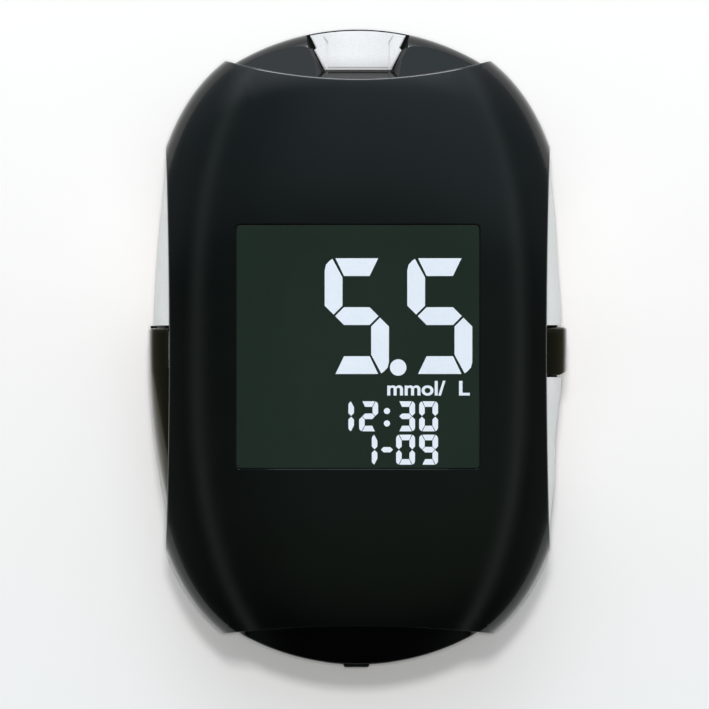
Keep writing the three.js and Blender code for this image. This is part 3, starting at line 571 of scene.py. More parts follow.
FINISHES = {
    "gloss_black": dict(dark=(0.0009, 0.0014, 0.0012), light=(0.0014, 0.002, 0.0018), rough=(0.1, 0.15),
                        grain=0.25, bump=0.0006, seed=2),
    "satin_black": dict(dark=(0.006, 0.007, 0.0078), light=(0.0105, 0.012, 0.013), rough=(0.38, 0.5),
                        grain=0.16, bump=0.008, seed=3),
    "silver_paint": dict(dark=(0.73, 0.73, 0.72), light=(0.79, 0.79, 0.78), rough=(0.3, 0.4),
                         metallic=0.08, bump=0.0005, seed=4),
    "grainy_silver": dict(dark=(0.59, 0.575, 0.58), light=(0.77, 0.75, 0.755), rough=(0.42, 0.48),
                          grain=0.17, bump=0.012, seed=5, specular=0.06),
    "window_tint": dict(dark=(0.0117, 0.0196, 0.0145), light=(0.0137, 0.0226, 0.0168), rough=(0.05, 0.09),
                        grain=0.5, bump=0.0002, seed=6, specular=0.2),
    "display_glass": dict(dark=(0.03, 0.045, 0.036), light=(0.04, 0.056, 0.045), rough=(0.05, 0.1),
                          grain=0.5, bump=0.0003, seed=7),
    "white_plastic": dict(dark=(0.72, 0.72, 0.7), light=(0.8, 0.8, 0.78), rough=(0.4, 0.5), seed=8),
    "foam": dict(dark=(0.008, 0.008, 0.009), light=(0.028, 0.028, 0.03), rough=(0.85, 0.95),
                 grain=0.18, bump=0.05, seed=9),
    "board_green": dict(dark=(0.008, 0.06, 0.024), light=(0.016, 0.11, 0.045), rough=(0.3, 0.45),
                        grain=0.5, blotch=2.2, bump=0.01, seed=10),
    "chip_black": dict(dark=(0.01, 0.01, 0.011), light=(0.02, 0.02, 0.022), rough=(0.5, 0.6),
                       grain=0.1, bump=0.006, seed=11),
    "steel": dict(dark=(0.42, 0.43, 0.44), light=(0.6, 0.61, 0.62), rough=(0.22, 0.36),
                  metallic=1, grain=0.12, bump=0.003, seed=12),
    "gold": dict(dark=(0.5, 0.33, 0.09), light=(0.66, 0.46, 0.15), rough=(0.2, 0.32),
                 metallic=1, grain=0.15, bump=0.002, seed=13),
    "rubber_black": dict(dark=(0.0014, 0.0015, 0.0017), light=(0.0028, 0.003, 0.0033), rough=(0.34, 0.46),
                         grain=0.14, seed=14, specular=0.3),
    "grey_plastic": dict(dark=(0.24, 0.25, 0.26), light=(0.31, 0.32, 0.33), rough=(0.4, 0.52),
                         bump=0.005, seed=15),
    "warm_gloss_black": dict(dark=(0.0012, 0.0012, 0.0005), light=(0.0026, 0.0026, 0.0011),
                             rough=(0.1, 0.16), grain=0.25, bump=0.0006, seed=17, tint=(1, 0.94, 0.62)),
    # Darker copy of the gloss black with weaker reflections: painted shade for the bottom nose, which lies
    # in the meter's shadow
    "painted_shade_gloss_black": dict(dark=(0.0006, 0.0006, 0.0008), light=(0.0011, 0.0011, 0.0014),
                             rough=(0.14, 0.22), grain=0.25, bump=0.0006, seed=18, specular=0.22),
    "display_figures": dict(dark=(0.7, 0.74, 0.82), light=(0.76, 0.8, 0.87), rough=(0.08, 0.14),
                            grain=0.3, bump=0.0003, seed=16),
}
MATERIALS = {name: surface(name, **look) for name, look in FINISHES.items()}


def paint(obj, material):
    obj.data.materials.clear()
    obj.data.materials.append(MATERIALS[material])


for entry in frame["record"]["subparts"]:
    paint(frame["nodes"][entry["node"]], entry["material_slot"])


def finish_piece(obj, body, slot, *nodes, material=None):
    """Gives a piece its material and body, and lets it stand for CAD nodes."""
    paint(obj, material or slot)
    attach(obj, body)
    if nodes:
        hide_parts(*nodes)


# Front cover

def surface_turns(start, stop, height, power):
    """Turns over a shell's face between two shares of its reach, down to the seam at most, with a
    close step at both ends that keeps the shading clean."""
    first = math.asin(start ** (power / 2))
    seam = math.acos((SEAM / height) ** (power / 2))
    last = min(math.asin(min(stop, 1.0) ** (power / 2)), seam)
    close = (last - first) * CLOSE_STEP_SHARE
    even = even_steps(first, last, SURFACE_STEPS)
    return [first, first + close] + even[1:-1] + [last - close, last]


def edge_roll(angle, reach, edge):
    """Radius of the rolled edge: widest at the top end, small at the bottom end, none on the outline."""
    widest = EDGE_ROLL if math.sin(angle) > BOTTOM_ROLL_BELOW_SHARE else BOTTOM_ROLL
    return widest * smooth_step((reach - edge) / EDGE_FADE)


def front_profile(angle):
    """Closed section of the cover along one ray: recess, outer face, rolled edge, wall and inside."""
    reach = pebble_reach(angle)
    inner_reach = pebble_reach(angle, -WALL)
    edge = cover_reach(angle)
    opening = window_reach(angle, WINDOW_GAP)

    def outer(distance):
        return PARTING + FRONT_HEIGHT * bulge(distance / reach, FRONT_POWER)

    def inner(distance):
        return PARTING + (FRONT_HEIGHT - WALL) * bulge(min(distance / inner_reach, 1.0), FRONT_POWER)

    wall_end = inner(edge) + SEAM
    roll = edge_roll(angle, reach, edge)
    lip = opening + WINDOW_ROLL
    profile = [(opening, inner(opening)), (opening, outer(opening) - WINDOW_ROLL)]
    profile += bezier(profile[-1], (opening, outer(opening)), (lip, outer(lip)), LIP_STEPS)
    for turn in surface_turns(lip / reach, (edge - roll) / reach, FRONT_HEIGHT, FRONT_POWER):
        distance, lift = dome_point(turn, reach, FRONT_HEIGHT, FRONT_POWER)
        profile.append((distance, PARTING + lift))
    rolled_end = (edge, max(outer(edge) - roll, wall_end))
    profile += bezier(profile[-1], (edge, max(outer(edge), wall_end)), rolled_end, ROLL_STEPS)
    profile += [rolled_end, (edge, wall_end), (edge - SEAM, wall_end - SEAM)]
    for distance in even_steps(min(edge - 2 * SEAM, inner_reach), opening, INNER_STEPS)[:-1]:
        profile.append((distance, inner(distance)))
    return profile


def make_cover():
    sections = [ray_section(front_profile, angle) for angle in SHELL_ANGLES]
    cover = sweep("front_cover_shell", sections, closed=True, smooth_degrees=SHELL_SMOOTH_DEGREES)
    finish_piece(cover, "case", "gloss_black", "front_cover")


# Display window

LENS_SMOOTH_DEGREES = 40
LENS_CLOSE = 0.03
LENS_ROLL_SHARE = 0.3
LENS_MIDDLE_SHARE = 0.02


def lens_profile(angle):
    """Section of the lens along one ray: face, rolled edge and wall, from the middle out."""
    edge = window_reach(angle, 0.0)
    flat = edge - WINDOW_ROLL
    rolled = WINDOW_ROLL * LENS_ROLL_SHARE
    rings = LENS_RINGS + LENS_MIDDLE_SHARE
    places = [(flat * (ring + LENS_MIDDLE_SHARE) / rings, 0.0) for ring in range(LENS_RINGS)]
    places += [(flat - LENS_CLOSE, 0.0), (flat, 0.0), (edge - rolled, rolled), (edge, WINDOW_ROLL)]
    section = []
    for distance, drop in places:
        height = lens_height(distance * math.cos(angle), distance * math.sin(angle))
        section.append((distance, height - drop))
    return section + [(edge, LENS_LOW)]


def make_window():
    """Lens that carries the cover's curve on over the display."""
    lens = sweep("display_lens", ray_rings(lens_profile), smooth_degrees=LENS_SMOOTH_DEGREES)
    finish_piece(lens, "case", "window_tint", "display_window")


# Figures on the display; a row has its low and high ends, its stroke and the gap between strokes

SEGMENTS = {"0": "abcdef", "1": "ef", "2": "abged", "3": "abgcd", "5": "afgcd", "9": "abcdfg"}
MITRE_SHARE = 0.52
TIP_SHARE = 0.4
BEND_SHARES = ((0.275, 0.14), (0.075, 0.36), (0.0, 0.675))
VALUE_ROW = (-3.33, 11.66, 2.3, 0.4)
VALUE_FIGURES = (("5", -4.3, 4.02), ("5", 6.4, 14.82))
VALUE_POINT = (5.22, -2.49, 1.07)
TIME_ROW = (-10.76, -6.87, 0.72, 0.1)
TIME_FIGURES = (("1", -1.23, 0.88), ("2", 0.16, 2.62), ("3", 4.95, 7.4), ("0", 7.94, 10.38))
TIME_COLON = ((3.76, -8.13, 0.4), (3.76, -9.74, 0.4))
DATE_ROW = (-15.08, -11.2, 0.72, 0.1)
DATE_FIGURES = (("1", 1.8, 3.9), ("0", 4.95, 7.4), ("9", 7.94, 10.38))
DASH_LEFT = 2.98
DASH_RIGHT = 4.54
DASH_MIDDLE = -13.14
DASH_HALF = 0.34
DASH_MITRE = 0.35
UNIT_WORDS = (("figures_unit", "mmol/", 3.8, 11.36), ("figures_litre", "L", 13.1, 14.5))
UNIT_LOW = -6.06
UNIT_SIZE = 2.6
UNIT_WEIGHT = 0.06
INLAY_CELL = 1.1


def raise_figures(name, form):
    """Gives flat figures their thickness on the curve of the lens, and makes them a piece."""
    result = bmesh.ops.extrude_face_region(form, geom=form.faces[:])
    raised = {item for item in result["geom"] if isinstance(item, bmesh.types.BMVert)}
    for vert in form.verts:
        top = lens_height(vert.co.x, vert.co.y) + FIGURE_RISE
        vert.co.z = top if vert in raised else top - FIGURE_DEPTH
        vert.co = vert.co * MM
    bmesh.ops.recalc_face_normals(form, faces=form.faces)
    mesh = bpy.data.meshes.new(name)
    form.to_mesh(mesh)
    form.free()
    shade(mesh)
    finish_piece(new_object(name, mesh), "case", "display_glass", material="display_figures")


def inlay(name, outlines):
    """Figures from flat outlines, cut in cells that can follow the curve of the lens."""
    form = bmesh.new()
    for outline in outlines:
        form.faces.new([form.verts.new((x, y, 0)) for x, y in outline])
    for index in (0, 1):
        values = [point[index] for outline in outlines for point in outline]
        axis = Vector((1 - index, index, 0))
        place = min(values) + INLAY_CELL
        while place < max(values):
            slice_across(form, axis, place)
            place += INLAY_CELL
    bmesh.ops.recalc_face_normals(form, faces=form.faces)
    for face in form.faces:
        if face.normal.z < 0:
            face.normal_flip()
    raise_figures(name, form)


def figure_outlines(figure, left, right, row):
    """Outlines of the strokes of one figure; the segments are named a to g as on any display."""
    bottom, top, stroke, gap = row
    middle = (bottom + top) / 2
    half = stroke / 2
    cut = gap / 2
    mitre = stroke * MITRE_SHARE
    start, stop = left + stroke + cut, right - stroke - cut

    def level(end, inner):
        """Level segment at one end of the figure."""
        return [(left + mitre + cut, end), (right - mitre - cut, end), (stop, inner), (start, inner)]

    def upright(outer, side, end):
        """Upright segment on one side, towards one end of the figure."""
        inner = outer + side * stroke
        up = 1 if end > middle else -1
        bend = [(outer + side * stroke * out, end - up * stroke * along) for out, along in BEND_SHARES]
        return [
            (outer + side * half, middle + up * cut),
            (inner, middle + up * (cut + half)),
            (inner, end - up * (stroke + cut)),
            (outer + side * (mitre - cut), end - up * cut * TIP_SHARE),
            *bend,
            (outer, middle + up * (cut + half)),
        ]

    outlines = {
        "a": level(top, top - stroke),
        "b": upright(right, -1, top),
        "c": upright(right, -1, bottom),
        "d": level(bottom, bottom + stroke)[::-1],
        "e": upright(left, 1, bottom),
        "f": upright(left, 1, top),
        "g": [(left + half + cut, middle), (start, middle + half), (stop, middle + half),
              (right - half - cut, middle), (stop, middle - half), (start, middle - half)],
    }
    return [outlines[key] for key in SEGMENTS[figure]]


def figure_row(row, figures):
    outlines = []
    for figure, left, right in figures:
        outlines += figure_outlines(figure, left, right, row)
    return outlines


def make_words(name, text, left, right):
    """Plain words of the unit, stretched to their place."""
    curve = bpy.data.curves.new(name + "_outline", "FONT")
    curve.body = text
    curve.size = UNIT_SIZE
    curve.offset = UNIT_WEIGHT
    holder = new_object(name + "_outline", curve)
    mesh = evaluated_mesh(holder)
    bpy.data.objects.remove(holder)
    start = min(vert.co.x for vert in mesh.vertices)
    stretch = (right - left) / (max(vert.co.x for vert in mesh.vertices) - start)
    form = bmesh.new()
    form.from_mesh(mesh)
    for vert in form.verts:
        vert.co = (left + (vert.co.x - start) * stretch, UNIT_LOW + vert.co.y, 0)
    bmesh.ops.remove_doubles(form, verts=form.verts, dist=LEAST_EDGE)
    raise_figures(name, form)


def make_figures():
    inlay("figures_value", figure_row(VALUE_ROW, VALUE_FIGURES) + [disc(*VALUE_POINT)])
    inlay("figures_time", figure_row(TIME_ROW, TIME_FIGURES) + [disc(*dot) for dot in TIME_COLON])
    start, stop = DASH_LEFT + DASH_MITRE, DASH_RIGHT - DASH_MITRE
    low, high = DASH_MIDDLE - DASH_HALF, DASH_MIDDLE + DASH_HALF
    left, right = (DASH_LEFT, DASH_MIDDLE), (DASH_RIGHT, DASH_MIDDLE)
    dash = [left, (start, high), (stop, high), right, (stop, low), (start, low)]
    inlay("figures_date", figure_row(DATE_ROW, DATE_FIGURES) + [dash])
    for words in UNIT_WORDS:
        make_words(*words)


# Rear housing and its screws

DOOR_HALF = 11.3
DOOR_LOW = -27.8
DOOR_HIGH = -3.7
DOORWAY_ROUND = 1.1
DOORWAY_TOP = 3.5
SCREW_PLACES = ((14.504, 30.2), (-14.504, 30.2), (-14.504, -30.2), (14.504, -30.2))
HOLE_RADIUS = 1.95
HOLE_CHAMFER = 0.35
HOLE_SINK = 0.05
HOLE_TOP = 4.0
SCREW_LOW = 1.2
SCREW_HEAD = ((1.15, 1.2), (1.45, 1.3), (1.58, 1.5), (1.6, 1.7), (1.6, 2.2))
SCREW_SHANK = 0.75
SCREW_TOP = 11.6
RECESS_HALF = 0.9
RECESS_NARROW = 0.25
RECESS_ROUND = 0.12
RECESS_LOW = 0.2
RECESS_HIGH = 1.75


def back_profile(angle):
    """Section of the rear housing along one ray, from the middle of its back to the middle of its floor."""
    reach = pebble_reach(angle)
    inner_reach = pebble_reach(angle, -WALL)
    edge = cover_reach(angle)

    def outer(distance):
        return max(PARTING - BACK_DEPTH * bulge(min(distance / reach, 1.0), BACK_POWER), 0.0)

    def inner(distance):
        depth = (BACK_DEPTH - WALL) * bulge(min(distance / inner_reach, 1.0), BACK_POWER)
        return max(PARTING - depth, FLOOR)

    flat_share = bulge(PARTING / BACK_DEPTH, BACK_POWER)
    profile = [(AXIS_RADIUS, 0.0), (flat_share * reach / 2, 0.0), (flat_share * reach, 0.0)]
    wall_end = inner(edge) - SEAM
    roll = edge_roll(angle, reach, edge)
    for turn in surface_turns(flat_share, (edge - roll) / reach, BACK_DEPTH, BACK_POWER)[1:]:
        distance, depth = dome_point(turn, reach, BACK_DEPTH, BACK_POWER)
        profile.append((distance, PARTING - depth))
    rolled_end = (edge, min(outer(edge) + roll, wall_end))
    profile += bezier(profile[-1], (edge, min(outer(edge), wall_end)), rolled_end, ROLL_STEPS)
    profile += [rolled_end, (edge, wall_end), (edge - SEAM, wall_end + SEAM)]
    back = min(edge - 2 * SEAM, inner_reach)
    for distance in even_steps(back + AXIS_RADIUS, AXIS_RADIUS, INNER_STEPS):
        profile.append((distance, inner(distance)))
    return profile


def make_rear():
    rear = sweep("rear_housing_shell", ray_rings(back_profile), smooth_degrees=SHELL_SMOOTH_DEGREES)
    doorway = (-DOOR_HALF - FIT, DOOR_LOW - FIT, DOOR_HALF + FIT, DOOR_HIGH + FIT)
    carve(rear, block("doorway", doorway, DOORWAY_ROUND, CUT_LOW, DOORWAY_TOP))
    for x, y in SCREW_PLACES:
        mouth = back_height(x, y) - HOLE_SINK
        wide = HOLE_RADIUS + HOLE_CHAMFER
        hole = [(AXIS_RADIUS, CUT_LOW), (wide, CUT_LOW), (wide, mouth), (HOLE_RADIUS, mouth + HOLE_CHAMFER),
                (HOLE_RADIUS, HOLE_TOP), (AXIS_RADIUS, HOLE_TOP)]
        carve(rear, turned("hole", x, y, hole))
    finish_piece(rear, "case", "satin_black", "rear_housing")


def make_screws():
    shank = ((SCREW_SHANK, SCREW_HEAD[-1][1]), (SCREW_SHANK, SCREW_TOP), (AXIS_RADIUS, SCREW_TOP))
    profile = [(AXIS_RADIUS, SCREW_LOW), *SCREW_HEAD, *shank]
    for index, (x, y) in enumerate(SCREW_PLACES):
        screw = turned(f"case_screw_head_{index + 1}", x, y, profile)
        for half_x, half_y in ((RECESS_NARROW, RECESS_HALF), (RECESS_HALF, RECESS_NARROW)):
            arm = box_round(x, y, half_x, half_y)
            carve(screw, block("recess", arm, RECESS_ROUND, RECESS_LOW, RECESS_HIGH, steps=3))
        finish_piece(screw, "case", "steel", f"case_screw_{index + 1}")


# Battery door: its blocks have a corner radius, a low and a high end and a rolled edge

DOOR_PANEL = (0.9, 0.2, FLOOR, 0.22)
HOLLOW_HALF = 4.0
HOLLOW_START = 2.9
HOLLOW_END = 0.9
HOLLOW_BLOCK = (0.8, -1.0, 0.7, 0.25)
RIB_COUNT = 3
RIB_START = 4.6
RIB_PITCH = 1.3
RIB_HALF = 3.4
RIB_TAPER = 0.7
RIB_HALF_WIDTH = 0.28
RIB_BLOCK = (0.27, 0.02, 0.4, 0.12)
TONGUE_INNER = 5.0
TONGUE_OUTER = 8.0
TONGUE_REACH = 1.8
TONGUE_ROOT = 0.35
TONGUE_END = 1.5
TONGUE_BLOCK = (0.4, 1.8, 2.5, 0.12)
ROOT_BLOCK = (0.2, 1.2, 2.4, 0.1)
LATCH_HALF = 3.0
LATCH_START = 1.2
LATCH_END = 0.2
LATCH_BLOCK = (0.25, 1.2, 3.3, 0.2)


def make_door():
    """Battery door with rounded edges, a thumbnail hollow, ribs, hinge tongues and a latch."""
    panel = (-DOOR_HALF, DOOR_LOW, DOOR_HALF, DOOR_HIGH)
    door = block("battery_door_panel", panel, *DOOR_PANEL, segments=3)
    hollow = (-HOLLOW_HALF, DOOR_HIGH - HOLLOW_START, HOLLOW_HALF, DOOR_HIGH - HOLLOW_END)
    carve(door, block("hollow", hollow, *HOLLOW_BLOCK, segments=3))
    extras = []
    for step in range(RIB_COUNT):
        y = DOOR_HIGH - RIB_START - RIB_PITCH * step
        rib = box_round(0.0, y, RIB_HALF - RIB_TAPER * step, RIB_HALF_WIDTH)
        extras.append(block("rib", rib, *RIB_BLOCK, steps=4))
    for left, right in ((-TONGUE_OUTER, -TONGUE_INNER), (TONGUE_INNER, TONGUE_OUTER)):
        tongue = (left, DOOR_LOW - TONGUE_REACH, right, DOOR_LOW + TONGUE_END)
        extras.append(block("tongue", tongue, *TONGUE_BLOCK, steps=3))
        root = (left, DOOR_LOW + TONGUE_ROOT, right, DOOR_LOW + TONGUE_END)
        extras.append(block("root", root, *ROOT_BLOCK, steps=3))
    latch = (-LATCH_HALF, DOOR_HIGH - LATCH_START, LATCH_HALF, DOOR_HIGH - LATCH_END)
    extras.append(block("latch", latch, *LATCH_BLOCK, steps=3))
    join(door, *extras)
    finish_piece(door, "door", "satin_black", "battery_door")


# Coin cell: radii and heights from the wide can, which faces the door, to the rim of the lid

CELL_Y = -15.5
CELL_STEPS = 72
CELL_PROFILE = (
    (AXIS_RADIUS, 1.8), (9.55, 1.8), (9.85, 1.87), (9.97, 2.05), (10.0, 2.3), (10.0, 4.2), (9.9, 4.37),
    (9.45, 4.42), (9.35, 4.6), (9.3, 4.85), (9.1, 5.0), (AXIS_RADIUS, 5.0),
)


def make_cell():
    cell = turned("coin_cell_can", 0.0, CELL_Y, CELL_PROFILE, CELL_STEPS)
    finish_piece(cell, "case", "steel", "coin_cell")


# Middle frame with its two noses

FACE_RIDGE = ((5.3, 33.0), (5.33, 35.4), (5.42, 36.77), (5.7, 37.55), (5.98, 38.16), (6.45, 38.95),
              (7.0, 39.6), (7.4, 42.5))
FACE_OUTSIDE = 24.0
FACE_HEIGHT = 12.85
FACE_X = 5.33
FACE_Y = 36.05
FACE_RISE_X = -0.21
FACE_RISE_Y = -0.4265
PORT_HEIGHT = 12.3
PORT_START = 36.2
PORT_SLOPE = 0.51
SHOULDER_START = 38.3
SHOULDER_BEND = 0.18
SHOULDER_CUTS = 13
SHOULDER_STEP = 0.17
POCKET_FLOOR = 7.4
POCKET_EDGE = ((4.36, 36.12), (5.05, 37.45), (5.72, 38.75), (6.05, 39.0), (6.8, 40.8), (7.3, 42.5))
POCKET_RIDGE = ((5.33, 35.15), (5.7, 37.55), (6.4, 38.92), (6.5, 39.02), (6.95, 40.8), (7.4, 42.5))
POCKET_SINK = 0.12
CHAMFER_LEAST = 0.15
CHAMFER_STRETCH = 2
CHAMFER_OVERRUN = 0.4
FRAME_DEGREES = 6
BOTTOM_NOSE_DEGREES = 30
NOSE_BEYOND = -44.0
MOUTH_ROUND = 0.2
SOCKET_MOUTH = (-4.2, -42.0, 4.2, -34.0)
SOCKET_LOW = 7.1
SOCKET_HIGH = 10.3
FRAME_WALL_END = 32.0
FRAME_WALL_STEPS = 24
FRAME_WALL = 2.0
STEM_BOX = (-24.9, -9.0, -19.3, -5.0)
STEM_LOW = 7.8
STEM_HIGH = 9.8
STEM_ROUND = 0.3
STEM_ROLL = 0.1
STEM_CUT_LEFT = -26.0
STEM_CUT_RIGHT = -18.0
CUT_ROUND = 0.1
KEY_CUT = (17.0, -4.4, 28.0, 3.6)
KEY_CUT_LOW = 4.4
KEY_CUT_HIGH = 14.0
# Black sheets in the key's gaps and between the slider and the left rail: painted shade that darkens the
# gaps
GAP_SHADE_INNER = 23.6
GAP_SHADE_OUTER = 25.95
GAP_SHADE_LOW = 4.82
GAP_SHADE_HIGH = 5.0
GAP_SHADE_ROUND = 0.02
SLIDER_GAP_SHADE_START = 2.15
SLIDER_GAP_SHADE_GAP = 0.01
SLIDER_GAP_SHADE_SINK = 0.04
SLIDER_GAP_SHADE_STEPS = 4


def nose_dome(reach, inside, depth, side):
    """Curved face of a nose from its inside to its outline, above or below the parting."""
    start = math.asin((inside / reach) ** (NOSE_POWER / 2))
    points = []
    for turn in even_steps(start, math.pi / 2, NOSE_STEPS):
        distance, lift = dome_point(turn, reach, depth, NOSE_POWER)
        points.append((distance, PARTING + side * lift))
    return points


def walled_dome(reach, inside):
    """Upper face of the bottom nose: a gentle dome, a rolled edge and a short upright wall."""
    def dome(inward):
        return PARTING + NOSE_WALL + NOSE_RISE * inward - NOSE_BEND * inward ** 2

    dome_steps = NOSE_STEPS - NOSE_ROLL_STEPS - 1
    points = [(reach - inward, dome(inward)) for inward in even_steps(reach - inside, NOSE_ROLL, dome_steps)]
    wall_top = (reach, PARTING + NOSE_WALL - NOSE_ROLL)
    points += bezier(points[-1], (reach, dome(0.0)), wall_top, NOSE_ROLL_STEPS)
    return points + [wall_top, (reach, PARTING)]


def nose_profile(angle):
    """Closed section of a nose along one ray: upper face, outline and underside."""
    reach = nose_reach(angle)
    inside = min(cover_reach(angle) - NOSE_INSIDE, reach - NOSE_LEAST)
    upper = nose_dome(reach, inside, NOSE_HEIGHT, 1)
    if math.sin(angle) < 0:
        share = smooth_step((reach - cover_reach(angle)) / NOSE_BLEND)
        upper = [
            (a * (1 - share) + c * share, b * (1 - share) + d * share)
            for (a, b), (c, d) in zip(upper, walled_dome(reach, inside))
        ]
    under = nose_dome(reach, inside, NOSE_DEPTH, -1)
    return upper + under[-2::-1]


def nose_sections(middle):
    return [ray_section(nose_profile, angle)
            for angle in even_steps(middle - NOSE_SPREAD, middle + NOSE_SPREAD, NOSE_RAYS)]


def face_plane(x, y):
    """Height of the sloped faces beside the port."""
    return FACE_HEIGHT + FACE_RISE_X * (abs(x) - FACE_X) + FACE_RISE_Y * (y - FACE_Y)


def port_face(y):
    """Height of the silver face: sloped, with a rounded shoulder at its lower end."""
    below = max(SHOULDER_START - y, 0.0)
    return PORT_HEIGHT - PORT_SLOPE * (y - PORT_START) - SHOULDER_BEND * below ** 2


def both_sides(right_half):
    """Closed plan from its right half, listed from the bottom up."""
    return [*right_half, *mirrored(reversed(right_half), -1)]


def port_cutter():
    """Pocket of the silver surround, with the chamfer that rises from its edge to the ridge."""
    low, seat, rim, above = [], [], [], []
    for (x0, y0), (x1, y1) in zip(both_sides(POCKET_EDGE), both_sides(POCKET_RIDGE)):
        z0 = port_face(y0) - POCKET_SINK
        z1 = max(face_plane(x1, y1), z0 + CHAMFER_LEAST)
        low.append((x0, y0, POCKET_FLOOR))
        seat.append((x0, y0, z0))
        rim.append((x1, y1, z1))
        above.append((
            x1 + CHAMFER_STRETCH * (x1 - x0),
            y1 + CHAMFER_STRETCH * (y1 - y0),
            z1 + CHAMFER_STRETCH * (z1 - z0) + CHAMFER_OVERRUN,
        ))
    return sweep("port_pocket", [low, seat, rim, above])


def make_top_nose():
    top = sweep("nose_frame", nose_sections(math.pi / 2), smooth_degrees=FRAME_DEGREES)
    outside = ((FACE_OUTSIDE, FACE_RIDGE[-1][1]), (FACE_OUTSIDE, FACE_RIDGE[0][1]))
    for side in (-1, 1):
        carve(top, plan_prism("face", mirrored(FACE_RIDGE + outside, side), face_plane, CUT_HIGH))
    carve(top, port_cutter())
    shade(top.data, FRAME_DEGREES)
    return top


def frame_wall(side):
    """Inner wall of the middle frame behind a rail."""
    sections = []
    for y in even_steps(-FRAME_WALL_END, FRAME_WALL_END, FRAME_WALL_STEPS):
        outer = min(belt_x(BELT_REACH - RAIL_THICKNESS - FIT, y), pebble_x(y, -WALL - FIT))
        inner = outer - FRAME_WALL
        corners = ((outer, RAIL_LOW), (outer, RAIL_HIGH), (inner, RAIL_HIGH), (inner, RAIL_LOW))
        sections.append([(side * x, y, height) for x, height in corners])
    return sweep("wall", sections)


def make_middle():
    """Middle frame: the top nose, then the bottom nose with the side walls and black sheets laid in the gaps
    as painted shade; these pieces take a darker copy of the gloss black, also painted shade.
    """
    top = make_top_nose()
    bottom = sweep("nose_bottom", nose_sections(-math.pi / 2), smooth_degrees=BOTTOM_NOSE_DEGREES)
    opening = (-FLAP_HALF - FLAP_GAP, NOSE_BEYOND, FLAP_HALF + FLAP_GAP, FLAP_INNER + FIT)
    carve(
        bottom,
        block("flap_place", opening, MOUTH_ROUND, FLAP_LOW - FLAP_GAP, FLAP_HIGH + FLAP_GAP),
        block("socket_place", SOCKET_MOUTH, MOUTH_ROUND, SOCKET_LOW, SOCKET_HIGH),
    )
    walls = [frame_wall(-1), frame_wall(1)]
    stem_cut = (STEM_CUT_LEFT, STEM_BOX[1] - FIT, STEM_CUT_RIGHT, STEM_BOX[3] + EJECT_TRAVEL + FIT)
    carve(walls[0], block("slot", stem_cut, CUT_ROUND, STEM_LOW - FIT, STEM_HIGH + FIT))
    carve(walls[1], block("key_window", KEY_CUT, CUT_ROUND, KEY_CUT_LOW, KEY_CUT_HIGH))
    # Black sheets over the silver floor of the key's gaps: painted shade
    for low, high in ((KEY_TOP - FIT, KEY_TOP + KEY_GAP), (KEY_BOTTOM - KEY_GAP, KEY_BOTTOM + FIT)):
        gap_shade = (GAP_SHADE_INNER, low, GAP_SHADE_OUTER, high)
        walls.append(block("key_gap_shade_sheet", gap_shade, GAP_SHADE_ROUND, GAP_SHADE_LOW, GAP_SHADE_HIGH, steps=2))
    # Black strip between the slider's lap and the start of the left rail: painted shade in the gap
    strip = even_steps(SLIDER_GAP_SHADE_START, LEFT_RAIL_START - SLIDER_GAP_SHADE_GAP, SLIDER_GAP_SHADE_STEPS)
    walls.append(sweep("slider_gap_shade_sheet", [band_section(-1, y, SLIDER_GAP_SHADE_SINK) for y in strip]))
    join(bottom, *walls)
    finish_piece(top, "case", "gloss_black", "middle_frame")
    # The bottom nose, with its walls and gap sheets, takes the darker copy of the gloss black: painted shade
    finish_piece(bottom, "case", "gloss_black", "middle_frame", material="painted_shade_gloss_black")


# Silver surround of the strip slot: each plate lies a little below the face of the centre panel

PLATE_LOW = 9.0
PLATE_HEIGHT = 1.0
PLATE_BEVEL = 0.05
BASE_DROP = 0.5
BASE_RISE = 0.02
BASE_SIDE = ((4.3, 36.15), (5.66, 38.75), (5.42, 39.02))
BASE_CORNER = 6.22
RIM_GAP = 0.22
PLATE_GAP = 0.3
CENTRE_RIGHT = ((4.0, 36.5), (4.0, 39.8), (4.5, 40.55))
CENTRE_LEFT = ((-4.45, 40.55), (-3.9, 39.8), (-3.9, 36.5))
CHEEK_INNER = ((4.16, 36.5), (4.16, 39.85), (4.68, 40.62))
CHEEK_OUTER = ((5.34, 39.05), (5.56, 38.78), (4.36, 36.5))
CHEEK_CORNER = 6.12
CHEEK_DROP = 0.03
CHEEK_STEPS = 4
FOOT_PLAN = ((-4.2, 36.2), (4.2, 36.2), (4.36, 36.44), (-4.36, 36.44))
FOOT_DROP = 0.14
SLOT_BOX = (-3.4, 35.0, 3.4, 43.0)
SLOT_LOW = 7.9
SLOT_HIGH = 9.0


def along_nose(start, stop, inset, steps=10):
    return [(x, nose_end(x, TOP_NOSE_REACH) - inset) for x in even_steps(start, stop, steps)]


def port_plate(name, plan, drop, low=PLATE_LOW, bevel=PLATE_BEVEL):
    """Plate whose top follows the silver face, some way below it."""
    obj = plan_prism(name, plan, low, low + PLATE_HEIGHT)
    with editing(obj.data) as form:
        for step in range(SHOULDER_CUTS):
            slice_across(form, Vector((0, 1, 0)), (SHOULDER_START - SHOULDER_STEP * step) * MM)
        for vert in form.verts:
            if vert.co.z > (low + PLATE_HEIGHT / 2) * MM:
                vert.co.z = (port_face(vert.co.y / MM) - drop) * MM
    shade(obj.data)
    if bevel > 0:
        add_bevel(obj, bevel)
    return obj


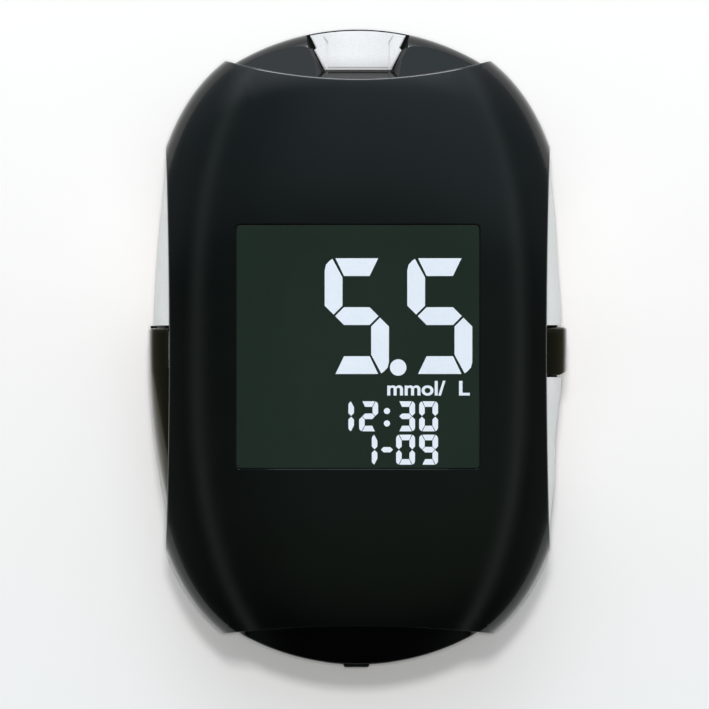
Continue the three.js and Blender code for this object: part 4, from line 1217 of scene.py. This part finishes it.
def make_port():
    """Silver surround of the strip slot: side cheeks and a centre panel with fine joints between them."""
    end = along_nose(BASE_CORNER, -BASE_CORNER, RIM_GAP)
    plan = [*BASE_SIDE, *end, *mirrored(reversed(BASE_SIDE), -1)]
    base = port_plate("port_silver", plan, BASE_DROP, POCKET_FLOOR + BASE_RISE, 0.0)
    cheeks = []
    for side in (-1, 1):
        end = along_nose(side * CHEEK_INNER[-1][0], side * CHEEK_CORNER, PLATE_GAP, CHEEK_STEPS)
        plan = mirrored(CHEEK_INNER, side) + end + mirrored(CHEEK_OUTER, side)
        cheeks.append(port_plate("cheek", plan, CHEEK_DROP))
    foot = port_plate("foot", FOOT_PLAN, FOOT_DROP)
    end = along_nose(CENTRE_RIGHT[-1][0], CENTRE_LEFT[0][0], PLATE_GAP)
    centre = port_plate("centre", [CENTRE_LEFT[-1], *CENTRE_RIGHT, *end, *CENTRE_LEFT[:-1]], 0.0)
    join(base, centre, foot, *cheeks)
    carve(base, block("strip_slot", SLOT_BOX, CUT_ROUND, SLOT_LOW, SLOT_HIGH))
    finish_piece(base, "case", "grainy_silver", "port_surround")


# Side rails; the right one has two finger hollows and a notch for the key

DIP_MIDDLE = 11.4
DIP_HALF_LENGTH = 6.2
DIP_POWER = 1.5
UPPER_DIP = 0.16
LOWER_DIP = 0.4
RAIL_DEGREES = 40
NOTCH_INNER = 15.0
NOTCH_OUTER = 30.0
NOTCH_LOW = 4.8
NOTCH_HIGH = 16.0


def belt_share(height):
    return bulge(abs(height - PARTING) / BELT_HALF_HEIGHT, BELT_POWER)


def dip_at(y):
    """Depth of the finger hollows in the right rail."""
    depth = 0.0
    for middle, deepest in ((DIP_MIDDLE, UPPER_DIP), (-DIP_MIDDLE, LOWER_DIP)):
        share = (y - middle) / DIP_HALF_LENGTH
        if abs(share) < 1:
            depth += deepest * (1 - share ** 2) ** DIP_POWER
    return depth


def band_section(side, y, depth):
    """Closed section across a rail, with rounded outer edges."""
    points = []
    reach = belt_x(BELT_REACH, y)
    for height in even_steps(RAIL_LOW, RAIL_HIGH, BAND_STEPS):
        pull = corner_pull(min(height - RAIL_LOW, RAIL_HIGH - height), RAIL_ROUND)
        points.append((side * (belt_share(height) * reach - pull - depth), y, height))
    for height in (RAIL_HIGH, RAIL_LOW):
        points.append((side * (reach - RAIL_THICKNESS), y, height))
    return points


def make_left_rail():
    places = even_steps(LEFT_RAIL_START, RAIL_END, RAIL_STEPS)
    rail = sweep("rail_left", [band_section(-1, y, 0.0) for y in places], smooth_degrees=RAIL_DEGREES)
    finish_piece(rail, "case", "silver_paint", "side_rail_left")


def make_right_rail():
    places = even_steps(-RAIL_END, RAIL_END, RAIL_STEPS)
    rail = sweep("rail_right", [band_section(1, y, dip_at(y)) for y in places], smooth_degrees=RAIL_DEGREES)
    notch = (NOTCH_INNER, KEY_BOTTOM - KEY_GAP, NOTCH_OUTER, KEY_TOP + KEY_GAP)
    carve(rail, block("notch", notch, CUT_ROUND, NOTCH_LOW, NOTCH_HIGH))
    finish_piece(rail, "case", "silver_paint", "side_rail_right")


# Slider; the thumb's line that it shares with the key stands a little out of the belt

THUMB_RADIUS = 97.0
THUMB_REACH = 27.195
THUMB_MIDDLE = 0.5
SLIDER_TOP = 2.9
SLIDER_BOTTOM = -21.6
SLIDER_INSIDE = 24.15
SLIDER_STEPS = 48
SLIDER_DEGREES = 22
LAP_START = -2.5
LAP_STEPS = 10
LAP_INSIDE = 0.2
LAP_OUTSIDE = 0.25
LIP_INSET = 0.28
LIP_ROLL = 0.34
LEDGE_HIGH = 9.4
LEDGE_PULL = 0.14
LEDGE_STEP = 0.01
ROLL_TURNS = (15, 30, 45, 60, 75, 90)
UPPER_FACE_INSIDE = 24.6
CREASE_SLOPE = 0.93
INNER_SLOPE = 0.4
CREASE_LEAST = 0.02
CREASE_START = -3.0
CREASE_WIDTH = 0.55
CREASE_SPREAD = 1.3
CREASE_FADE = 10.0
STEEP_STEPS = 14
UPPER_STEPS = 10


def thumb_x(y):
    return THUMB_REACH - THUMB_RADIUS + math.sqrt(THUMB_RADIUS ** 2 - (y - THUMB_MIDDLE) ** 2)


def lower_face(reach, low, rounding):
    """Outer face up to the parting, with a rounded lower edge."""
    points = []
    for height in even_steps(low, PARTING, LOW_STEPS)[:-1]:
        points.append((belt_share(height) * reach - corner_pull(height - low, rounding), height))
    return points


def leaning_face(reach, width, inside, top):
    """Outer face from the parting up: part of an ellipse that starts upright and leans in, then a
    slope that flattens towards the inside."""
    crease_x = max(reach - width, inside + CREASE_LEAST)
    across = crease_x - inside
    crease_z = top - across * (CREASE_SLOPE + INNER_SLOPE) / 2
    height = crease_z - PARTING
    share = (reach - crease_x) / height
    stretch = math.sqrt(1 - 2 * share * CREASE_SLOPE) / share
    full = 2 * math.atan(share * stretch)
    points = []
    for turn in even_steps(0.0, full, STEEP_STEPS)[:-1]:
        x = reach - (reach - crease_x) * (1 - math.cos(turn)) / (1 - math.cos(full))
        points.append((x, PARTING + height * math.sin(turn) / math.sin(full)))
    for inward in even_steps(0.0, across, UPPER_STEPS):
        flatter = (CREASE_SLOPE - INNER_SLOPE) / (2 * across) * inward ** 2
        points.append((crease_x - inward, crease_z + CREASE_SLOPE * inward - flatter))
    return points


def draw_in(points, pull):
    """Draws a section in for a rounded end."""
    return [(x - pull, height - pull * smooth_step(height - PARTING)) for x, height in points]


def slider_section(y, pull):
    """Outer face of the slider at a place along it; its steep part spreads towards its lower end."""
    reach = thumb_x(y)
    below = max(CREASE_START - y, 0.0)
    width = CREASE_WIDTH + CREASE_SPREAD * (1 - math.exp(-below / CREASE_FADE))
    points = lower_face(reach, RAIL_LOW, RAIL_ROUND)
    points += leaning_face(reach, width, UPPER_FACE_INSIDE, RAIL_HIGH)
    return [(-x, y, height) for x, height in draw_in(points, pull)]


def make_slider():
    """Slider with a stepped upper end; its thin lap covers the start of the left rail."""
    body = []
    for y in even_steps(SLIDER_BOTTOM, LAP_START, SLIDER_STEPS):
        inside = belt_x(SLIDER_INSIDE, y)
        outer = [(min(x, -inside - LEAST_WALL), y, z) for x, _, z in slider_section(y, 0.0)]
        body.append(outer + [(-inside, y, RAIL_HIGH), (-inside, y, RAIL_LOW)])
    edge = SLIDER_TOP - LIP_INSET
    places = [(y, 0.0, RAIL_HIGH) for y in even_steps(LAP_START, edge - LIP_ROLL, LAP_STEPS)]
    for turn in ROLL_TURNS:
        angle = math.radians(turn)
        places.append((edge - LIP_ROLL * (1 - math.sin(angle)), LIP_ROLL * (1 - math.cos(angle)), RAIL_HIGH))
    places += [(edge + LEDGE_STEP, LEDGE_PULL, LEDGE_HIGH), (SLIDER_TOP, LEDGE_PULL, LEDGE_HIGH)]
    lap = []
    for y, pull, highest in places:
        outer = []
        inner = []
        for x, _, z in slider_section(y, pull):
            height = min(z, highest)
            x = min(x, -belt_share(height) * belt_x(BELT_REACH + LAP_OUTSIDE, y))
            outer.append((x, y, height))
            inside = belt_share(height) * belt_x(BELT_REACH + LAP_INSIDE, y)
            inner.append((-min(inside, -x - LEAST_WALL), y, height))
        lap.append(outer + inner[::-1])
    slider = sweep("eject_slider_body", body, smooth_degrees=SLIDER_DEGREES)
    lip = sweep("eject_slider_lip", lap, smooth_degrees=SLIDER_DEGREES)
    join(slider, lip, block("stem", STEM_BOX, STEM_ROUND, STEM_LOW, STEM_HIGH, STEM_ROLL, steps=3))
    finish_piece(slider, "ejector", "gloss_black", "eject_slider", material="warm_gloss_black")


# Return spring between the ejector's arm and the top nose

SPRING_RADIUS = 1.0
SPRING_WIRE = 0.45
SPRING_TURNS = 7
SPRING_TURN_STEPS = 18
SPRING_SIDES = 8
SPRING_DEGREES = 60


def make_spring():
    """Coil of round wire in the CAD spring's box."""
    low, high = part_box("eject_return_spring")
    start = low[1] / MM + SPRING_WIRE / 2
    length = (high[1] - low[1]) / MM - SPRING_WIRE
    middle_x = (low[0] + high[0]) / 2 / MM
    middle_z = (low[2] + high[2]) / 2 / MM
    steps = SPRING_TURNS * SPRING_TURN_STEPS
    sections = []
    for step in range(steps + 1):
        turn = 2 * math.pi * step / SPRING_TURN_STEPS
        ring = []
        for out, along in disc(SPRING_RADIUS, start + length * step / steps, SPRING_WIRE / 2, SPRING_SIDES):
            ring.append((middle_x + out * math.cos(turn), along, middle_z + out * math.sin(turn)))
        sections.append(ring)
    spring = sweep("eject_spring_coil", sections, smooth_degrees=SPRING_DEGREES)
    finish_piece(spring, "case", "steel", "eject_return_spring")
    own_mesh(spring)


# Key

KEY_INSIDE = 23.9
KEY_UPPER_INSIDE = 24.4
KEY_LOW = 5.1
KEY_HIGH = 12.4
KEY_ROUND = 0.4
KEY_CREASE = 0.48
KEY_END_ROLL = 0.4
KEY_LOWER_ROLL = 0.1
LOWER_ROLL_TURNS = (0, 30, 60, 90)
KEY_CORNER_LENGTH = 0.85
KEY_CORNER_DEPTH = 1.0
KEY_CORNER_POWER = 2.2
KEY_CORNER_STEPS = 10
KEY_MIDDLE_STEPS = 8
KEY_DEGREES = 28
KEY_POCKET = (20.0, -2.1, 26.0, 1.3)
KEY_POCKET_ROUND = 0.2
KEY_POCKET_LOW = 6.55
KEY_POCKET_HIGH = 11.15


def key_places():
    """Places of the key's sections, close together where its ends are rolled."""
    corner = KEY_BOTTOM + KEY_CORNER_LENGTH
    places = [KEY_BOTTOM + KEY_LOWER_ROLL * (1 - math.cos(math.radians(turn))) for turn in LOWER_ROLL_TURNS]
    places += even_steps(KEY_BOTTOM + KEY_LOWER_ROLL, corner, KEY_CORNER_STEPS)[1:]
    places += even_steps(corner, KEY_TOP - KEY_END_ROLL, KEY_MIDDLE_STEPS)[1:]
    return places + [KEY_TOP - KEY_END_ROLL * (1 - math.sin(math.radians(turn))) for turn in ROLL_TURNS]


def make_key():
    """Key with a leaning upper face, a rounded upper end and a softly rounded lower corner."""
    sections = []
    for y in key_places():
        reach = thumb_x(y)
        points = lower_face(reach, KEY_LOW, KEY_ROUND)
        points += leaning_face(reach, KEY_CREASE, KEY_UPPER_INSIDE, KEY_HIGH)
        pull = max(corner_pull(KEY_TOP - y, KEY_END_ROLL), corner_pull(y - KEY_BOTTOM, KEY_LOWER_ROLL))
        to_corner = 1 - min((y - KEY_BOTTOM) / KEY_CORNER_LENGTH, 1.0)
        limit = reach - KEY_CORNER_DEPTH * to_corner ** KEY_CORNER_POWER
        section = [(max(min(x, limit), KEY_INSIDE + LEAST_WALL), y, z) for x, z in draw_in(points, pull)]
        sections.append(section + [(KEY_INSIDE, y, KEY_HIGH - pull), (KEY_INSIDE, y, KEY_LOW)])
    key = sweep("jog_key_cap", sections, smooth_degrees=KEY_DEGREES)
    carve(key, block("pocket", KEY_POCKET, KEY_POCKET_ROUND, KEY_POCKET_LOW, KEY_POCKET_HIGH))
    finish_piece(key, "key", "gloss_black", "jog_key", material="warm_gloss_black")


# Flap over the data socket: its lip and plug have a corner radius, a low and a high end and a rolled edge

FLAP_STEPS = 40
FLAP_LEVELS = 12
FLAP_DEGREES = 36
LIP_BOX = (-1.9, -41.49, 1.5, -40.2)
LIP_BLOCK = (0.35, 7.15, 8.85, 0.22)
PLUG_BOX = (-2.7, -40.2, 2.7, -38.2)
PLUG_BLOCK = (0.3, 7.95, 9.45, 0.15)


def make_flap():
    """Flap that carries the bottom nose's curve on, with its finger lip and plug."""
    sections = []
    for x in even_steps(-FLAP_HALF, FLAP_HALF, FLAP_STEPS):
        pull = corner_pull(min(x + FLAP_HALF, FLAP_HALF - x), FLAP_ROUND)
        section = []
        for height in even_steps(FLAP_LOW, FLAP_HIGH, FLAP_LEVELS):
            share = bulge(max(PARTING - height, 0.0) / NOSE_DEPTH, NOSE_POWER)
            section.append((x, pull - share * nose_end(x, BOTTOM_NOSE_REACH), height))
        sections.append(section + [(x, FLAP_INNER, FLAP_HIGH), (x, FLAP_INNER, FLAP_LOW)])
    flap = sweep("port_flap_cap", sections, smooth_degrees=FLAP_DEGREES)
    join(flap, block("lip", LIP_BOX, *LIP_BLOCK, segments=3), block("plug", PLUG_BOX, *PLUG_BLOCK))
    finish_piece(flap, "flap", "rubber_black", "port_flap")


make_cover()
make_window()
make_figures()
make_rear()
make_screws()
make_door()
make_cell()
make_middle()
make_port()
make_left_rail()
make_right_rail()
make_slider()
make_spring()
make_key()
make_flap()


# Floor: the pale table top that the meter lies on, in metres

TABLE_HALF = 3.0
TABLE_DROP = 0.05 * MM
# Half length and colours of the painted light on the table: a falloff towards the bottom, lightest at the
# top
TABLE_PAINTED_FALLOFF = 46 * MM
TABLE_ROUGHNESS = 0.9
TABLE_PAINTED_LIGHT_COLOURS = ((0.0, (0.835, 0.812, 0.804)), (0.5, (0.886, 0.842, 0.825)), (1.0, (0.955, 0.91, 0.893)))


def make_floor():
    """Table top with painted light: its colour darkens a little from the top of the picture to its bottom as
    a painted falloff of the light, and its lowest colour is kept light to soften the meter's shadow.
    """
    corners = [(x * TABLE_HALF, y * TABLE_HALF, 0) for x, y in ((-1, -1), (1, -1), (1, 1), (-1, 1))]
    mesh = bpy.data.meshes.new("floor")
    mesh.from_pydata(corners, [], [(0, 1, 2, 3)])
    floor = new_object("floor", mesh)
    floor.location.z = -TABLE_DROP
    material = bpy.data.materials.new("floor_paper")
    material.use_nodes = True
    tree = material.node_tree
    place = add_node(tree, "TexCoord", {}).outputs["Object"]
    parts = add_node(tree, "SeparateXYZ", {"Vector": place}).outputs
    share = spread_values(tree, parts["Y"], 0, 1, -TABLE_PAINTED_FALLOFF, TABLE_PAINTED_FALLOFF)
    shader = tree.nodes["Principled BSDF"]
    tree.links.new(colour_ramp(tree, share, TABLE_PAINTED_LIGHT_COLOURS), shader.inputs["Base Color"])
    shader.inputs["Roughness"].default_value = TABLE_ROUGHNESS
    shader.inputs["Specular IOR Level"].default_value = 0.0
    mesh.materials.append(material)


make_floor()


# Studio light: dim walls that the gloss reflects, in levels by direction from -1 to 1, and lamps in metres

ALONG_LEVELS = ((-1, 0.01), (-0.6, 0.015), (-0.4, 0.08), (-0.2, 0.145), (-0.05, 0.18), (0.02, 0.15),
                (0.05, 0.19), (0.07, 0.29), (0.09, 0.37), (0.117, 0.415), (0.2, 0.465), (0.41, 0.56),
                (0.55, 0.4), (1, 0.4))
ACROSS_LEVELS = ((-1, 0.4), (-0.75, 0.5), (-0.35, 0.5), (-0.15, 0.58), (0, 1), (0.12, 1.05), (0.3, 1.05),
                 (0.45, 0.6), (0.75, 0.5), (1, 0.4))
FAR_LEVELS = ((-1, 0), (0.41, 0), (0.55, 1.1), (0.66, 1.5), (0.8, 1.7), (0.9, 2.4), (1, 1.8))
FAR_ACROSS_LEVELS = ((-1, 0.1), (-0.6, 0.16), (-0.38, 0.5), (-0.3, 0.56), (-0.12, 0.85), (0, 1),
                     (0.12, 0.8), (0.3, 0.36), (0.38, 0.28), (0.6, 0.14), (1, 0.1))
BAND_LEVELS = ((-1, 0), (-0.54, 0), (-0.475, 0.06), (-0.445, 0.15), (-0.42, 0.22), (-0.395, 0.25),
               (-0.37, 0.18), (-0.34, 0.08), (-0.3, 0), (0.3, 0), (0.34, 0.06), (0.37, 0.16),
               (0.395, 0.26), (0.42, 0.27), (0.445, 0.2), (0.475, 0.1), (0.55, 0), (1, 0))
HORIZON_LEVELS = ((0, 0.55), (0.09, 0.33), (0.26, 0.17), (0.4, 0.11), (0.55, 0.08), (0.7, 0.05),
                  (0.85, 0), (1, 0))
FRONT_LEVELS = ((-1, 0), (-0.82, 0.1), (-0.62, 0.5), (-0.3, 0.9), (0, 1), (0.3, 0.7), (0.6, 0.5), (1, 0.5))
NEAR_TINTS = ((0.0, (0.78, 1.0, 0.78)), (1.0, (0.77, 1.0, 1.1)))
NEAR_TINT_EDGE = 0.15
FAR_TINT = (0.9, 1.0, 1.08)
BAND_TINT = (0.88, 1.0, 0.97)
LAMPS = (
    dict(name="key", place=(0.0, 0.54, 1.7), size=(0.2, 0.24), power=10.8, glossy=False),
    dict(name="overhead", place=(0.0, 0.0, 1.8), size=(0.12, 0.12), power=12.2, glossy=False),
    dict(name="far_strip", place=(0.0, 1.35, 0.52), size=(0.7, 0.5), power=12.0, diffuse=False),
)


def level_ramp(tree, value, levels):
    """Grey level that follows one part of a direction."""
    low, high = levels[0][0], levels[-1][0]
    stops = [((place - low) / (high - low), (level, level, level)) for place, level in levels]
    return colour_ramp(tree, spread_values(tree, value, 0, 1, low, high), stops)


def combine(tree, operation, first, second):
    """Mixes two colours, or a colour with a fixed tint."""
    other = (*second, 1) if isinstance(second, tuple) else second
    inputs = {"Factor": 1, "A": first, "B": other}
    return add_node(tree, "Mix", inputs, data_type="RGBA", blend_type=operation).outputs["Result"]


def make_world():
    world = bpy.data.worlds.new("studio")
    bpy.context.scene.world = world
    world.use_nodes = True
    tree = world.node_tree
    background = tree.nodes["Background"]
    place = add_node(tree, "TexCoord", {}).outputs["Generated"]
    parts = add_node(tree, "SeparateXYZ", {"Vector": place}).outputs

    def product(first, second):
        return combine(tree, "MULTIPLY", first, second)

    along = level_ramp(tree, parts["Y"], ALONG_LEVELS)
    across = level_ramp(tree, parts["X"], ACROSS_LEVELS)
    far = level_ramp(tree, parts["Y"], FAR_LEVELS)
    far_across = level_ramp(tree, parts["X"], FAR_ACROSS_LEVELS)
    bands = level_ramp(tree, parts["X"], BAND_LEVELS)
    horizon = level_ramp(tree, parts["Z"], HORIZON_LEVELS)
    front = level_ramp(tree, parts["Y"], FRONT_LEVELS)
    tint = spread_values(tree, parts["Y"], 0, 1, -NEAR_TINT_EDGE, NEAR_TINT_EDGE)
    light = product(product(along, across), colour_ramp(tree, tint, NEAR_TINTS))
    far_light = product(product(far, far_across), FAR_TINT)
    for layer in (far_light, product(bands, BAND_TINT), product(horizon, front)):
        light = combine(tree, "ADD", light, layer)
    tree.links.new(light, background.inputs["Color"])
    background.inputs["Strength"].default_value = 1.0


def make_lamp(name, place, size, power, glossy=True, diffuse=True):
    """Area lamp that faces the meter."""
    data = bpy.data.lights.new(name, "AREA")
    data.shape = "RECTANGLE"
    data.size, data.size_y = size
    data.energy = power
    lamp = new_object(name, data)
    lamp.location = place
    lamp.rotation_euler = (Vector() - Vector(place)).to_track_quat("-Z", "Y").to_euler()
    lamp.visible_camera = False
    lamp.visible_glossy = glossy
    lamp.visible_diffuse = diffuse


make_world()
for settings in LAMPS:
    make_lamp(**settings)


# Camera straight above the display

CAMERA_X = -0.44 * MM
CAMERA_Y = -0.81 * MM
CAMERA_DISTANCE = 2.0
CAMERA_AIM_HEIGHT = 10 * MM
PICTURE_WIDTH = 92.17 * MM
SENSOR_WIDTH = 36
SIGHT_END = 20


def make_camera():
    data = bpy.data.cameras.new("camera")
    data.sensor_width = SENSOR_WIDTH
    data.lens = SENSOR_WIDTH * (CAMERA_DISTANCE - CAMERA_AIM_HEIGHT) / PICTURE_WIDTH
    data.clip_end = SIGHT_END
    camera = new_object("camera", data)
    camera.location = (CAMERA_X, CAMERA_Y, CAMERA_DISTANCE)
    bpy.context.scene.camera = camera


make_camera()
bpy.context.scene.view_settings.view_transform = "Standard"
